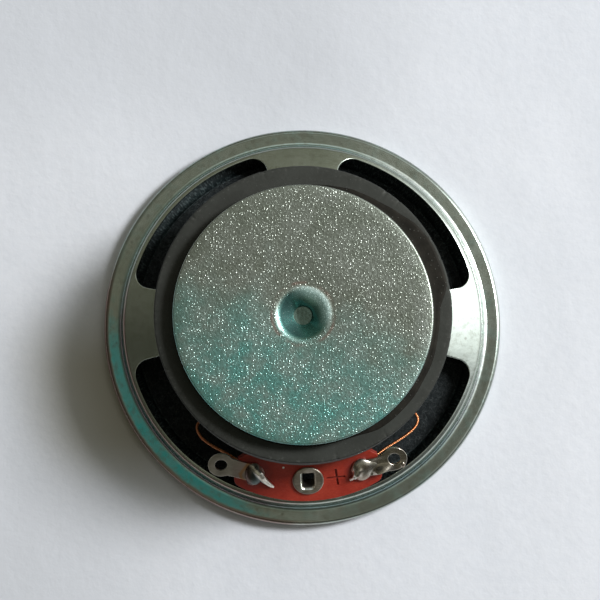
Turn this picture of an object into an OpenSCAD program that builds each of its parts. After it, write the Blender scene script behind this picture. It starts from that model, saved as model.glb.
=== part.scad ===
// Small full-range loudspeaker with a paper cone, 50 mm across, lying on its front.
// The origin is the centre of the front gasket's face, and +Z runs back towards the magnet.
// +X is to the right and the terminals are at -Y, as they are seen from behind.

/* [Frame] */
// Outer diameter of the pressed steel frame
frame_d = 50; // [48:0.5:54]
// Thickness of the frame's sheet steel
sheet_t = 0.6; // [0.4:0.1:0.8]
// Width of the flat rim, from its outer edge to the foot of the step
rim_w = 1.6; // [1.5:0.1:2.2]
// Gap between the rim's folded lip and the surface that the gasket rests on
lip_gap = 0.3; // [0.2:0.1:0.6]
// Height of the step from the rim up to the shoulder
step_h = 2.4; // [2:0.1:3]
// How far the step leans inwards over its height
step_lean = 0.9; // [0.7:0.1:1.2]
// Slope of the wall from the shoulder to the spider ledge, in degrees
wall_angle = 32; // [29:1:35]
// Width of the sloping wall, seen from behind
wall_w = 4.9; // [4.6:0.1:5.4]
// Width of the flat ledge that carries the spider
ledge_w = 3.7; // [3.4:0.1:4.2]
// Height of the floor above the spider ledge
floor_rise = 1.5; // [1.2:0.1:2]
// Radius of the bends, at the middle of the sheet
bend_r = 0.4; // [0.35:0.05:0.5]

/* [Windows] */
// Number of windows in the sloping wall
window_count = 4; // [3:1:5]
// Angle that each arm between two windows takes up, in degrees
arm_angle = 26; // [24:1:30]
// Land between the shoulder and the windows' outer edge
window_land = 0.65; // [0.5:0.05:1]
// How far the windows bite into the spider ledge
window_bite = 0.6; // [0.4:0.1:0.8]
// Radius of the windows' corners
window_corner_r = 1.85; // [1.4:0.05:2]

/* [Motor] */
// Diameter of the top plate and of the back plate
plate_d = 31.3; // [30:0.1:32]
// Thickness of the top plate
top_plate_t = 2; // [1.5:0.1:2.5]
// Thickness of the back plate
back_plate_t = 2; // [1.5:0.1:2.5]
// Outer diameter of the ferrite ring magnet
magnet_d = 36; // [34:0.5:37]
// Bore of the magnet
magnet_bore_d = 18; // [17:0.5:20]
// Thickness of the magnet
magnet_t = 6.8; // [6:0.2:9]
// How far the magnet was glued off centre, towards +Y
magnet_offset = 0.2; // [0:0.05:0.3]
// Size of the broken edge round the magnet
magnet_edge = 0.25; // [0.1:0.05:0.4]
// Thickness of the adhesive films on both faces of the magnet
film_t = 0.1; // [0.05:0.05:0.2]
// Diameter of the pole piece
pole_d = 12.3; // [11.9:0.1:12.5]
// Mouth of the dimple that heading leaves behind the pole
dimple_d = 7.1; // [6:0.1:8]
// Flat floor of that dimple
dimple_floor_d = 2.1; // [1.5:0.1:3]
// Depth of that dimple
dimple_h = 1.8; // [1:0.1:2.5]
// Number of stakes that hold the top plate in the frame
stake_count = 4; // [3:1:6]
// Diameter of a stake
stake_d = 2; // [1.6:0.1:2.4]

/* [Voice coil and suspension] */
// Running gap between the pole and the coil former
pole_gap = 0.3; // [0.25:0.05:0.4]
// Wall of the coil former
former_t = 0.1; // [0.08:0.02:0.16]
// Radial build of the winding
winding_t = 0.4; // [0.3:0.05:0.45]
// Running gap between the winding and the top plate
plate_gap = 0.35; // [0.3:0.05:0.5]
// Height of the winding
winding_h = 4; // [3:0.2:5]
// Thickness of the spider's cloth
spider_t = 0.25; // [0.2:0.05:0.35]
// Height of the spider's rolls, from the middle to a crest
spider_wave = 0.35; // [0.25:0.05:0.45]
// Thickness of the cone's paper
cone_t = 0.25; // [0.2:0.05:0.35]
// Depth of the cone, from its outer edge to its neck
cone_depth = 3.9; // [3.6:0.1:4.1]
// Power of the cone's flare, where 1 is a straight side
cone_flare = 1.25; // [1:0.05:1.5]
// Thickness of the surround
surround_t = 0.2; // [0.15:0.05:0.25]
// Radius of the surround's roll
roll_r = 1; // [0.8:0.05:1.05]
// Thickness of the front gasket
gasket_t = 1.3; // [1.3:0.1:1.8]
// Diameter of the dust cap, over its dome
cap_d = 15.4; // [14.6:0.2:17]
// Height of the dust cap's dome
cap_h = 1.9; // [1.2:0.1:2.2]

/* [Terminals] */
// How far the terminal board is turned from the -Y line, in degrees
terminal_turn = 2; // [0:0.5:3]
// Thickness of the fibre terminal board
board_t = 0.8; // [0.6:0.1:1]
// Half the length of the board
board_half_l = 9.2; // [9:0.1:9.6]
// Height of the board up the slope
board_w = 7; // [6.7:0.05:7.1]
// Height of the pad pressed up under the board
pad_lift = 0.15; // [0.1:0.05:0.25]
// Diameter of the rivet head in the middle of the board
rivet_head_d = 3.9; // [3.4:0.1:4.2]
// Width of the rectangular hole through that rivet
rivet_hole_w = 1.45; // [1.2:0.05:1.6]
// Length of that hole, up the slope
rivet_hole_l = 2; // [1.6:0.05:2.1]
// Distance from the middle of the board to each lug's eyelet
lug_spacing = 6.6; // [6.2:0.05:6.8]
// Thickness of a solder lug
lug_t = 0.35; // [0.25:0.05:0.45]
// Distance from a lug's eyelet to its wire eye
lug_l = 4.3; // [3.9:0.1:4.8]
// Outer diameter of the ring round a lug's wire eye
lug_ring_d = 3.2; // [2.8:0.1:3.4]
// Diameter of a lug's wire eye
lug_eye_d = 1.52; // [1.3:0.02:1.7]
// Angle of the positive lug above the board's long axis
positive_angle = 20; // [14:1:22]
// Angle of the negative lug above the board's long axis
negative_angle = 19; // [14:1:22]
// Width of a lug's tail
lug_tail_w = 2.3; // [2:0.1:2.5]
// Radius of a solder mound
solder_r = 1.45; // [1.3:0.05:1.5]
// Height of a solder mound over its lug
solder_h = 1; // [0.8:0.05:1.2]
// Length of the peak that the iron drew out of the positive mound
positive_peak_l = 2.1; // [1:0.1:3]
// Length of the peak that the iron drew out of the negative mound
negative_peak_l = 3.2; // [1.5:0.1:4]

/* [Leads] */
// Diameter of the tinsel leads
lead_d = 0.34; // [0.28:0.02:0.4]
// Diameter of the winding's own wire where it crosses the cone
tail_d = 0.14; // [0.1:0.02:0.18]
// Distance from the axis to the joints on the cone
anchor_r = 12.5; // [12:0.1:13]
// Radius of the glue dot over such a joint
anchor_dot_r = 1.1; // [0.9:0.05:1.3]

/* [Hidden] */
$fn = 72;

// Film of adhesive between glued faces, and the air round a fixed fit
glue_gap = 0.05;
fit_gap = 0.05;
eps = 0.01;

// Frame, where every height is the middle of the sheet unless it says rear or front
frame_r = frame_d / 2;
lip_r = frame_r - sheet_t / 2;
flange_front_z = gasket_t + surround_t;
flange_z = flange_front_z + sheet_t / 2;
foot_r = frame_r - rim_w;
shoulder_r = foot_r - step_lean;
shoulder_z = flange_z + step_h;
ledge_r = shoulder_r - wall_w;
ledge_z = shoulder_z + wall_w * tan(wall_angle);
ledge_front_z = ledge_z - sheet_t / 2;
riser_r = ledge_r - ledge_w;
riser_lean = 0.4;
floor_z = ledge_z + floor_rise;
floor_front_z = floor_z - sheet_t / 2;
floor_rear_z = floor_z + sheet_t / 2;
slope_rise = sheet_t / 2 / cos(wall_angle);

// Motor, from the frame's floor to the rear
pole_r = pole_d / 2;
former_in_r = pole_r + pole_gap;
former_out_r = former_in_r + former_t;
winding_out_r = former_out_r + winding_t;
bore_r = winding_out_r + plate_gap;
floor_hole_r = bore_r + 0.2;
plate_r = plate_d / 2;
plate_rear_z = floor_rear_z + top_plate_t;
magnet_front_z = plate_rear_z + film_t;
magnet_rear_z = magnet_front_z + magnet_t;
back_front_z = magnet_rear_z + film_t;
back_rear_z = back_front_z + back_plate_t;
plate_edge = 0.2;
stake_circle_r = (floor_hole_r + riser_r - riser_lean) / 2;
stake_head_r = stake_d / 2 + 0.45;
stake_head_t = 0.4;
squeeze_w = 0.45;
squeeze_t = 0.25;
squeeze_shift = 0.9;
squeeze_angle = 25;

// Winding and former
winding_z = floor_rear_z + top_plate_t / 2;
winding_front_z = winding_z - winding_h / 2;
winding_rear_z = winding_z + winding_h / 2;
former_rear_z = winding_rear_z + 0.3;

// Cone, surround and spider
edge_z = flange_front_z + glue_gap + cone_t / 2;
surround_z = gasket_t + surround_t / 2;
roll_out_r = foot_r - 0.6;
roll_mid_r = roll_out_r - roll_r;
roll_in_r = roll_mid_r - roll_r;
cone_edge_r = roll_in_r - 0.1;
edge_land_w = 0.9;
flare_r = cone_edge_r - edge_land_w;
neck_r = former_out_r + cone_t / 2 + glue_gap;
neck_z = edge_z + cone_depth;
collar_h = 0.5;
former_front_z = neck_z - 0.1;
spider_z = ledge_front_z - spider_t / 2;
spider_out_r = ledge_r - 1;
spider_land_r = riser_r + 0.5;
spider_in_r = former_out_r + glue_gap;
spider_wave_in_r = spider_in_r + 0.8;
spider_waves = 3.5;
gasket_w = 1.3;
gasket_out_r = frame_r - sheet_t - 0.15;
cap_r = cap_d / 2;
cap_t = 0.2;
cap_flange_w = 0.6;

// Terminal board, measured along the slope from the shoulder
board_low_v = 1.05;
board_arc_r = 16.5;
board_top_v = board_low_v + board_w;
board_corner_r = 1.2;
rivet_v = 4.1;
rivet_head_t = 0.35;
rivet_shank_r = 1.35;
rivet_foot_r = 1.5;
rivet_foot_t = 0.35;
rivet_chamfer = 0.25;
pad_half_w = 3.9;
pad_low_v = 1.4;
pad_top_v = 5.8;
eyelet_v = 5.45;
eyelet_bore_r = 0.45;
eyelet_wall = 0.25;
eyelet_head_r = 1.05;
eyelet_head_t = 0.2;
solder_fillet_r = 0.95;
solder_fillet_h = 0.3;

// Points of the tinsel leads. First away from the joint on the cone, as distance from the axis
// past the joint's and height above it, then from the eyelet that the lead is soldered to,
// as distance along the board, up its slope and out of its underside.
lead_start = [[1.15, 0.4], [1.85, 0.75], [3, 1.15]];
positive_route = [[6.4, 4.85, -6.05], [7.05, 4.2, -5.3], [7.35, 3.65, -4.6], [6.9, 3, -3.85],
                  [5.75, 2.3, -3.15], [4.2, 1.6, -2.5], [3, 1.05, -2.1], [2, 0.5, -1.7],
                  [1.15, 0.15, -1.4], [0.4, 0, -1.2], [0, 0, -0.9]];
negative_route = [[5.85, 4.55, -5.9], [6.65, 4.05, -5.2], [6.95, 3.75, -4.65], [6.8, 3.2, -3.95],
                  [6.15, 2.55, -3.3], [5, 1.85, -2.8], [3.9, 1.4, -2.35], [2.7, 0.8, -1.9],
                  [1.65, 0.25, -1.5], [0.65, 0.05, -1.25], [0.1, 0, -0.95]];
positive_anchor_angle = -35;
negative_anchor_angle = -137;
anchor_h = 0.65;
peak_root = 0.75;
positive_peak_r = 0.35;
negative_peak_r = 0.5;

// Plane geometry
function unit(v) = v / norm(v);
function turn_left(v) = [-v[1], v[0]];
function corner_arc(a, b, c, r, n) =
    let (u = unit(a - b), v = unit(c - b), half = acos(u * v) / 2,
         centre = b + unit(u + v) * r / sin(half),
         p = b + u * r / tan(half) - centre, q = b + v * r / tan(half) - centre,
         start = atan2(p[1], p[0]), sweep = atan2(p[0] * q[1] - p[1] * q[0], p * q))
    [for (i = [0 : n]) centre + r * [cos(start + sweep * i / n), sin(start + sweep * i / n)]];
function rounded(points, r, n) =
    let (last = len(points) - 1)
    [points[0],
     for (i = [1 : last - 1])
         each corner_arc(points[i - 1], points[i], points[i + 1], r, n),
     points[last]];
function side_of(path, i, t) =
    let (last = len(path) - 1,
         before = turn_left(unit(path[max(i, 1)] - path[max(i, 1) - 1])),
         after = turn_left(unit(path[min(i, last - 1) + 1] - path[min(i, last - 1)])),
         middle = unit(before + after))
    path[i] + middle * t / (middle * before);
function thick(path, t) =
    concat([for (i = [0 : len(path) - 1]) side_of(path, i, t / 2)],
           [for (i = [len(path) - 1 : -1 : 0]) side_of(path, i, -t / 2)]);

// A sheet of even thickness turned about the axis, from its middle line of [radius, height]
module spun(path, t) {
    rotate_extrude() polygon(thick(path, t));
}

// A flat ring between two heights
module ring(r_out, r_in, low, high) {
    translate([0, 0, low]) difference() {
        cylinder(r = r_out, h = high - low);
        translate([0, 0, -1]) cylinder(r = r_in, h = high - low + 2);
    }
}

// Round wire along a route, as one closed tube
function along(route, i) =
    let (last = len(route) - 1)
    unit(route[min(i + 1, last)] - route[max(i - 1, 0)]);
function smooth(route, steps) =
    let (last = len(route) - 1)
    [for (i = [0 : last - 1])
         let (a = route[max(i - 1, 0)], b = route[i], c = route[i + 1], d = route[min(i + 2, last)])
         for (s = [0 : steps - 1])
             let (t = s / steps)
             0.5 * (2 * b + (c - a) * t + (2 * a - 5 * b + 4 * c - d) * t * t
                    + (3 * b - a - 3 * c + d) * t * t * t),
     route[last]];
module wire(route, d, sides) {
    rings = len(route);
    points = [for (i = [0 : rings - 1])
                  let (t = along(route, i), x = unit(cross(t, [0.31, 0.17, 0.94])), y = cross(t, x))
                  for (k = [0 : sides - 1])
                      route[i] + d / 2 * (cos(360 * k / sides) * x + sin(360 * k / sides) * y)];
    walls = [for (i = [0 : rings - 2], k = [0 : sides - 1], half = [0, 1])
                 let (a = i * sides + k, b = i * sides + (k + 1) % sides)
                 half == 0 ? [a, a + sides, b] : [b, a + sides, b + sides]];
    polyhedron(points, concat(walls, [[for (k = [0 : sides - 1]) k]],
               [[for (k = [sides - 1 : -1 : 0]) (rings - 1) * sides + k]]));
}

// Middle line of the pressed frame, from the lip's front edge to the centre hole
frame_path = [[lip_r, lip_gap], [lip_r, flange_z], [foot_r, flange_z], [shoulder_r, shoulder_z],
              [ledge_r, ledge_z], [riser_r, ledge_z], [riser_r - riser_lean, floor_z],
              [floor_hole_r, floor_z]];

// One window, as the outline that the press tool punches
module window_outline() {
    out_r = shoulder_r - window_land;
    in_r = ledge_r - window_bite;
    half = 180 / window_count - arm_angle / 2;
    side = window_corner_r / (out_r - window_corner_r);
    corner = half - asin(side);
    steps = 12;
    polygon(concat(
        [for (i = [-steps : steps]) out_r * [cos(corner * i / steps), sin(corner * i / steps)]],
        window_corner(out_r, corner, half, 1),
        [for (i = [steps : -1 : -steps]) in_r * [cos(half * i / steps), sin(half * i / steps)]],
        window_corner(out_r, corner, half, -1)));
}
function window_corner(out_r, corner, half, hand) =
    let (c = (out_r - window_corner_r) * [cos(corner), hand * sin(corner)], n = 6,
         first = hand > 0 ? 1 : n - 1, last = hand > 0 ? n : 0, sweep = half + 90 - corner)
    [for (i = [first : hand : last])
         c + window_corner_r * [cos(corner + sweep * i / n), hand * sin(corner + sweep * i / n)]];

module windows() {
    for (i = [0 : window_count - 1])
        rotate([0, 0, 360 / window_count * (i + 0.5) - 90])
            linear_extrude(floor_rear_z) window_outline();
}

// A point given along the board, up the slope and out of its underside, in the part's own frame
function on_board(p) =
    let (w = p[2] + pad_lift,
         y = p[1] * cos(wall_angle) - w * sin(wall_angle) - shoulder_r,
         z = p[1] * sin(wall_angle) + w * cos(wall_angle) + shoulder_z + slope_rise)
    [p[0] * cos(terminal_turn) - y * sin(terminal_turn),
     p[0] * sin(terminal_turn) + y * cos(terminal_turn), z];

// Places things on the terminal board: x along it, y up the slope, z out of its underside at 0
module at_board(lift = 0) {
    rotate([0, 0, terminal_turn])
        translate([0, -shoulder_r, shoulder_z + slope_rise])
            rotate([wall_angle, 0, 0])
                translate([0, 0, pad_lift + lift]) children();
}

module stakes(r, low, high) {
    for (i = [0 : stake_count - 1])
        rotate([0, 0, 360 / stake_count * (i + 0.5)])
            translate([stake_circle_r, 0, low]) cylinder(r = r, h = high - low);
}

module basket() {
    color("darkgray") difference() {
        union() {
            spun(rounded(frame_path, bend_r, 3), sheet_t);
            at_board(-sheet_t) translate([-pad_half_w, pad_low_v, 0])
                cube([2 * pad_half_w, pad_top_v - pad_low_v, sheet_t]);
        }
        windows();
        stakes(stake_d / 2 + fit_gap, floor_front_z - 1, floor_rear_z + 1);
        at_board(-2) translate([0, rivet_v, 0]) cylinder(r = rivet_shank_r + fit_gap, h = 4);
    }
}

module top_plate() {
    color("silver") union() {
        ring(plate_r, bore_r, floor_rear_z, plate_rear_z);
        stakes(stake_d / 2, floor_front_z - eps, floor_rear_z + top_plate_t / 2);
        stakes(stake_head_r, floor_front_z - stake_head_t, floor_front_z);
    }
}

module magnet_ring() {
    color("dimgray") translate([0, magnet_offset, 0]) rotate_extrude() polygon([
        [magnet_bore_d / 2, magnet_front_z],
        [magnet_d / 2 - magnet_edge, magnet_front_z],
        [magnet_d / 2, magnet_front_z + magnet_edge],
        [magnet_d / 2, magnet_rear_z - magnet_edge],
        [magnet_d / 2 - magnet_edge, magnet_rear_z],
        [magnet_bore_d / 2, magnet_rear_z]]);
}

// Back plate and pole, headed in one piece, with the dimple that this leaves behind
module yoke() {
    color("lightgray") rotate_extrude() polygon([
        [0, floor_rear_z],
        [pole_r - plate_edge, floor_rear_z],
        [pole_r, floor_rear_z + plate_edge],
        [pole_r, back_front_z],
        [plate_r, back_front_z],
        [plate_r, back_rear_z - plate_edge],
        [plate_r - plate_edge, back_rear_z],
        [dimple_d / 2, back_rear_z],
        [dimple_floor_d / 2, back_rear_z - dimple_h],
        [0, back_rear_z - dimple_h]]);
}

module front_film() {
    color("darkslategray") ring(plate_r - 0.3, magnet_bore_d / 2 + 1, plate_rear_z, magnet_front_z);
}

// Adhesive under the back plate, squeezed out round it and furthest towards the upper right
module rear_film() {
    shift = squeeze_shift * [cos(squeeze_angle), sin(squeeze_angle), 0];
    color("darkslategray") union() {
        ring(plate_r - 0.1, magnet_bore_d / 2 + 1, magnet_rear_z, back_front_z);
        difference() {
            intersection() {
                translate([0, magnet_offset, magnet_rear_z])
                    cylinder(r = magnet_d / 2 - magnet_edge - 0.1, h = squeeze_t);
                union() {
                    translate([0, 0, magnet_rear_z]) cylinder(r = plate_r + squeeze_w, h = squeeze_t);
                    translate(shift + [0, 0, magnet_rear_z])
                        cylinder(r = plate_r + 2 * squeeze_w, h = squeeze_t / 2);
                }
            }
            translate([0, 0, magnet_rear_z - 1]) cylinder(r = plate_r - 0.2, h = 3);
            translate([0, 0, back_front_z]) cylinder(r = plate_r, h = 3);
        }
    }
}

module gasket() {
    color("saddlebrown") ring(gasket_out_r, gasket_out_r - gasket_w, 0, gasket_t);
}

module surround() {
    roll = [for (a = [0 : 15 : 180]) [roll_mid_r - roll_r * cos(a), surround_z - roll_r * sin(a)]];
    color("black") spun(concat([[cone_edge_r - edge_land_w, surround_z]], roll,
                               [[gasket_out_r, surround_z]]), surround_t);
}

// Height of the middle of the cone's paper at a radius
function cone_height(r) =
    edge_z + cone_depth * pow(max(0, flare_r - r) / (flare_r - neck_r), cone_flare);
cone_steps = 10;
cone_path = concat([[cone_edge_r, edge_z]],
    [for (i = [0 : cone_steps])
         let (r = flare_r - (flare_r - neck_r) * i / cone_steps) [r, cone_height(r)]],
    [[neck_r, neck_z + collar_h]]);

module cone() {
    color("black") spun(cone_path, cone_t);
}

module dust_cap() {
    seat_z = cone_height(cap_r) - cone_t / 2 - cap_t / 2;
    flange_r = cap_r + cap_flange_w;
    dome_r = (cap_r * cap_r + cap_h * cap_h) / (2 * cap_h);
    rise = asin(cap_r / dome_r);
    dome = [for (i = [0 : 8])
                [dome_r * sin(rise * i / 8), seat_z - cap_h + dome_r * (1 - cos(rise * i / 8))]];
    rim = [[flange_r, cone_height(flange_r) - cone_t / 2 - cap_t / 2 - fit_gap]];
    profile = thick(concat(dome, rim), cap_t);
    color("black") rotate_extrude() polygon([for (p = profile) [max(p[0], 0), p[1] - fit_gap]]);
}

module coil_former() {
    color("peru") ring(former_out_r, former_in_r, former_front_z, former_rear_z);
}

module voice_coil() {
    color("chocolate") ring(winding_out_r, former_out_r, winding_front_z, winding_rear_z);
}

module spider() {
    steps = 42;
    wave = [for (i = [0 : steps])
                let (r = spider_wave_in_r + (spider_land_r - spider_wave_in_r) * i / steps)
                [r, spider_z - spider_wave * sin(360 * spider_waves * i / steps)]];
    color("khaki") spun(concat([[spider_in_r, spider_z]], wave, [[spider_out_r, spider_z]]), spider_t);
}

// Fillets of glue where the cone and the spider meet the former
module neck_glue() {
    collar_top = neck_z + collar_h;
    spider_rear = spider_z + spider_t / 2 + glue_gap;
    color("gold") rotate_extrude() {
        polygon([[former_out_r, collar_top + eps], [neck_r + cone_t / 2, collar_top + eps],
                 [former_out_r, collar_top + 0.4]]);
        polygon([[former_out_r, spider_rear], [former_out_r + 0.5, spider_rear],
                 [former_out_r, spider_rear + 0.5]]);
    }
}

// Bead round the edge of the dust cap
module cap_glue() {
    in_r = cap_r + cap_flange_w + 0.05;
    out_r = in_r + 0.6;
    color("black") rotate_extrude() polygon([
        [in_r, cone_height(in_r) - cone_t / 2 - fit_gap],
        [out_r, cone_height(out_r) - cone_t / 2 - fit_gap],
        [in_r, cone_height(in_r) - cone_t / 2 - 0.35]]);
}

function polar(r, a, z) = [r * cos(a), r * sin(a), z];

// The winding's two ends, laid across the back of the cone to the joints
module coil_tails() {
    lift = cone_t / 2 + tail_d / 2 + 0.06;
    foot_tail_r = neck_r + cone_t / 2 + tail_d;
    color("orangered") for (a = [positive_anchor_angle, negative_anchor_angle])
        wire([for (r = [foot_tail_r + 0.15 : 0.5 : anchor_r - anchor_dot_r - 0.1])
                  polar(r, a, cone_height(r) + lift)], tail_d, 6);
}

// Glue dots over the joints between the tinsel leads and the winding's ends
module lead_anchors() {
    color("black") for (a = [positive_anchor_angle, negative_anchor_angle])
        difference() {
            rotate([0, 0, a]) translate([anchor_r, 0, cone_height(anchor_r) + cone_t / 2])
                rotate_extrude() polygon(concat([[0, -0.6], [anchor_dot_r, -0.6]],
                    [for (t = [0 : 15 : 90]) [anchor_dot_r * cos(t), anchor_h * sin(t)]]));
            rotate_extrude() polygon(concat([[0, 0], [flare_r, 0]],
                [for (i = [0 : cone_steps + 1]) side_of(cone_path, i, -cone_t / 2) + [0, glue_gap]],
                [[0, neck_z]]));
        }
}

function board_edge(u) = board_low_v + board_arc_r - sqrt(board_arc_r * board_arc_r - u * u);

// Outline of the terminal board: straight at the top, an arc along the rim
module board_outline() {
    arc_end = board_half_l - 1.6;
    top_corner = [board_half_l - 0.65, board_top_v - 0.65];
    top_end = [board_half_l - 1.6, board_top_v];
    half = concat([top_end, top_corner],
        corner_arc(top_corner, [board_half_l + 0.1, board_edge(board_half_l) + 0.1],
                   [arc_end, board_edge(arc_end)], board_corner_r, 5));
    arc = [for (i = [6 : -1 : -6]) [arc_end * i / 6, board_edge(arc_end * i / 6)]];
    mirrored = [for (i = [len(half) - 1 : -1 : 0]) [-half[i][0], half[i][1]]];
    polygon(concat(half, arc, mirrored));
}

module terminal_board() {
    color("firebrick") at_board() linear_extrude(board_t) difference() {
        board_outline();
        translate([0, rivet_v]) circle(r = rivet_shank_r + fit_gap);
        for (side = [-1, 1])
            translate([side * lug_spacing, eyelet_v])
                circle(r = eyelet_bore_r + eyelet_wall + fit_gap);
    }
}

// Rivet that holds the board on its arm, closed with a rectangular punch
module board_rivet() {
    foot_w = -(pad_lift + sheet_t + 0.1);
    head_edge = 0.15;
    color("silver") at_board() translate([0, rivet_v, 0]) difference() {
        rotate_extrude() polygon([
            [0, foot_w - rivet_foot_t], [rivet_foot_r, foot_w - rivet_foot_t],
            [rivet_foot_r, foot_w], [rivet_shank_r, foot_w], [rivet_shank_r, board_t],
            [rivet_head_d / 2, board_t], [rivet_head_d / 2, board_t + rivet_head_t - head_edge],
            [rivet_head_d / 2 - head_edge, board_t + rivet_head_t], [0, board_t + rivet_head_t]]);
        translate([-rivet_hole_w / 2, -rivet_hole_l / 2, -3]) cube([rivet_hole_w, rivet_hole_l, 6]);
        for (side = [-1, 1]) {
            translate([side * rivet_hole_w / 2, 0, board_t + rivet_head_t]) rotate([0, 45, 0])
                cube([rivet_chamfer * sqrt(2), rivet_hole_l, rivet_chamfer * sqrt(2)], center = true);
            translate([0, side * rivet_hole_l / 2, board_t + rivet_head_t]) rotate([45, 0, 0])
                cube([rivet_hole_w, rivet_chamfer * sqrt(2), rivet_chamfer * sqrt(2)], center = true);
        }
    }
}

// Places things at a lug's eyelet, with +X towards its wire eye
module at_lug(side, angle, lift) {
    at_board(lift) translate([side * lug_spacing, eyelet_v, 0])
        mirror([side < 0 ? 1 : 0, 0, 0]) rotate([0, 0, angle]) children();
}

module solder_lug(side, angle) {
    color("rosybrown") at_lug(side, angle, board_t) linear_extrude(lug_t) difference() {
        union() {
            translate([lug_l, 0]) circle(d = lug_ring_d);
            translate([0, -lug_tail_w / 2]) square([lug_l, lug_tail_w]);
            circle(r = lug_tail_w / 2 + 0.1);
        }
        translate([lug_l, 0]) circle(d = lug_eye_d);
        circle(r = eyelet_bore_r + eyelet_wall + fit_gap);
    }
}

module lug_positive() { solder_lug(1, positive_angle); }
module lug_negative() { solder_lug(-1, negative_angle); }

// Hollow eyelets that clamp each lug to the board
module lug_eyelets() {
    top = board_t + lug_t;
    shank_r = eyelet_bore_r + eyelet_wall;
    color("tan") for (side = [-1, 1])
        at_board() translate([side * lug_spacing, eyelet_v, 0]) rotate_extrude() polygon([
            [eyelet_bore_r, -eyelet_head_t], [eyelet_head_r, -eyelet_head_t], [eyelet_head_r, 0],
            [shank_r, 0], [shank_r, top], [eyelet_head_r, top], [eyelet_head_r, top + eyelet_head_t],
            [eyelet_bore_r, top + eyelet_head_t]]);
}

// Solder mound over an eyelet, through its bore and out as a small fillet below,
// with the peak that the iron drew out of it
module solder(side, angle, peak_angle, peak_l, peak_r) {
    top = lug_t;
    head = top + eyelet_head_t;
    color("gainsboro") at_lug(side, angle, board_t) union() {
        rotate_extrude() polygon(concat(
            [[0, -board_t - eyelet_head_t - solder_fillet_h],
             [lead_d, -board_t - eyelet_head_t - solder_fillet_h],
             [solder_fillet_r, -board_t - eyelet_head_t],
             [eyelet_bore_r, -board_t - eyelet_head_t], [eyelet_bore_r, head],
             [eyelet_head_r, head], [eyelet_head_r, top]],
            [for (t = [0 : 10 : 90]) [solder_r * cos(t), top + solder_h * sin(t)]]));
        rotate([0, 0, peak_angle - angle]) translate([0, 0, top + peak_root * solder_h])
            rotate([0, 97, 0]) cylinder(r1 = peak_r, r2 = peak_r / 3, h = peak_l);
    }
}

module solder_positive() {
    solder(1, positive_angle, 227, positive_peak_l, positive_peak_r);
}
module solder_negative() {
    solder(-1, negative_angle, 223, negative_peak_l, negative_peak_r);
}

// Tinsel lead, from the joint on the cone to the flat end of the solder below its eyelet
module tinsel_lead(side, anchor_angle, route) {
    end = [0, 0, -eyelet_head_t - solder_fillet_h];
    points = concat(
        [for (s = lead_start) polar(anchor_r + s[0], anchor_angle, cone_height(anchor_r) + s[1])],
        [for (p = concat(route, [end])) on_board([side * (lug_spacing + p[0]), eyelet_v + p[1], p[2]])]);
    color("darkorange") wire(smooth(points, 3), lead_d, 8);
}

module lead_positive() { tinsel_lead(1, positive_anchor_angle, positive_route); }
module lead_negative() { tinsel_lead(-1, negative_anchor_angle, negative_route); }

basket();
top_plate();
magnet_ring();
yoke();
front_film();
rear_film();
gasket();
surround();
cone();
dust_cap();
coil_former();
voice_coil();
spider();
neck_glue();
cap_glue();
coil_tails();
lead_anchors();
terminal_board();
board_rivet();
lug_positive();
lug_negative();
lug_eyelets();
solder_positive();
solder_negative();
lead_positive();
lead_negative();
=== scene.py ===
import math

import bmesh
import bpy
import numpy as np
from mathutils import Matrix, Vector, geometry


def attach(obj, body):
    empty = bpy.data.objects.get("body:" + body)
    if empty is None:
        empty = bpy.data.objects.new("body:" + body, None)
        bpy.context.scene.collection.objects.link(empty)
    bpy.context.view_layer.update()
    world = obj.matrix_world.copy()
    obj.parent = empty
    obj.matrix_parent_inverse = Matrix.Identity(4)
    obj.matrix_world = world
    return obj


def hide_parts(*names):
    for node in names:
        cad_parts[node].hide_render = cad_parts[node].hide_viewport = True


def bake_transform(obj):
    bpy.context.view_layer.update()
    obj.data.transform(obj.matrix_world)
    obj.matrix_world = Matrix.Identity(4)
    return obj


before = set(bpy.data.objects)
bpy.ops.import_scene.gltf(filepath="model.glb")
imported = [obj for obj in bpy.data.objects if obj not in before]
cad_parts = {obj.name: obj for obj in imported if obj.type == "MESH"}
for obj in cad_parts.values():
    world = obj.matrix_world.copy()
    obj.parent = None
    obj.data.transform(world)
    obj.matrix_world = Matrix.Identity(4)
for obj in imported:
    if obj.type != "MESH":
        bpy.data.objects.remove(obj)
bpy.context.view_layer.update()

# Sizes are in millimetres, as in the part's source. MM turns them into Blender's metres.
MM = 0.001
TAU = 2 * math.pi

# Pressed frame
SHEET = 0.6
RIM_R, FOOT_R, SHOULDER_R, NECK_OF_WALL_R = 25.0, 22.5, 22.5, 22.2
LEDGE_R, RISER_R, FLOOR_HOLE_R = 17.6, 13.9, 7.5
FLANGE_Z, SHOULDER_Z, WALL_ANGLE = 1.8, 4.2, math.radians(32)
LEDGE_Z = SHOULDER_Z + (SHOULDER_R - LEDGE_R) * math.tan(WALL_ANGLE)
FLOOR_Z = LEDGE_Z + 1.5
WINDOW_OUT_R, WINDOW_IN_R, WINDOW_HALF, WINDOW_CORNER_R = 21.85, 17.0, math.radians(32), 1.85
STAKE_RING_R, STAKE_R = 10.5, 1.05

# Motor
PLATE_R, MAGNET_FRONT_Z, MAGNET_REAR_Z, BACK_FRONT_Z, BACK_Z = 15.65, 11.162, 17.962, 18.062, 20.062
MAGNET_R, MAGNET_BORE_R, MAGNET_SHIFT = 18.0, 9.0, 0.2
POLE_R, DIMPLE_R, DIMPLE_FLOOR_R, DIMPLE_DEPTH = 6.15, 3.55, 1.12, 1.8

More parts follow.
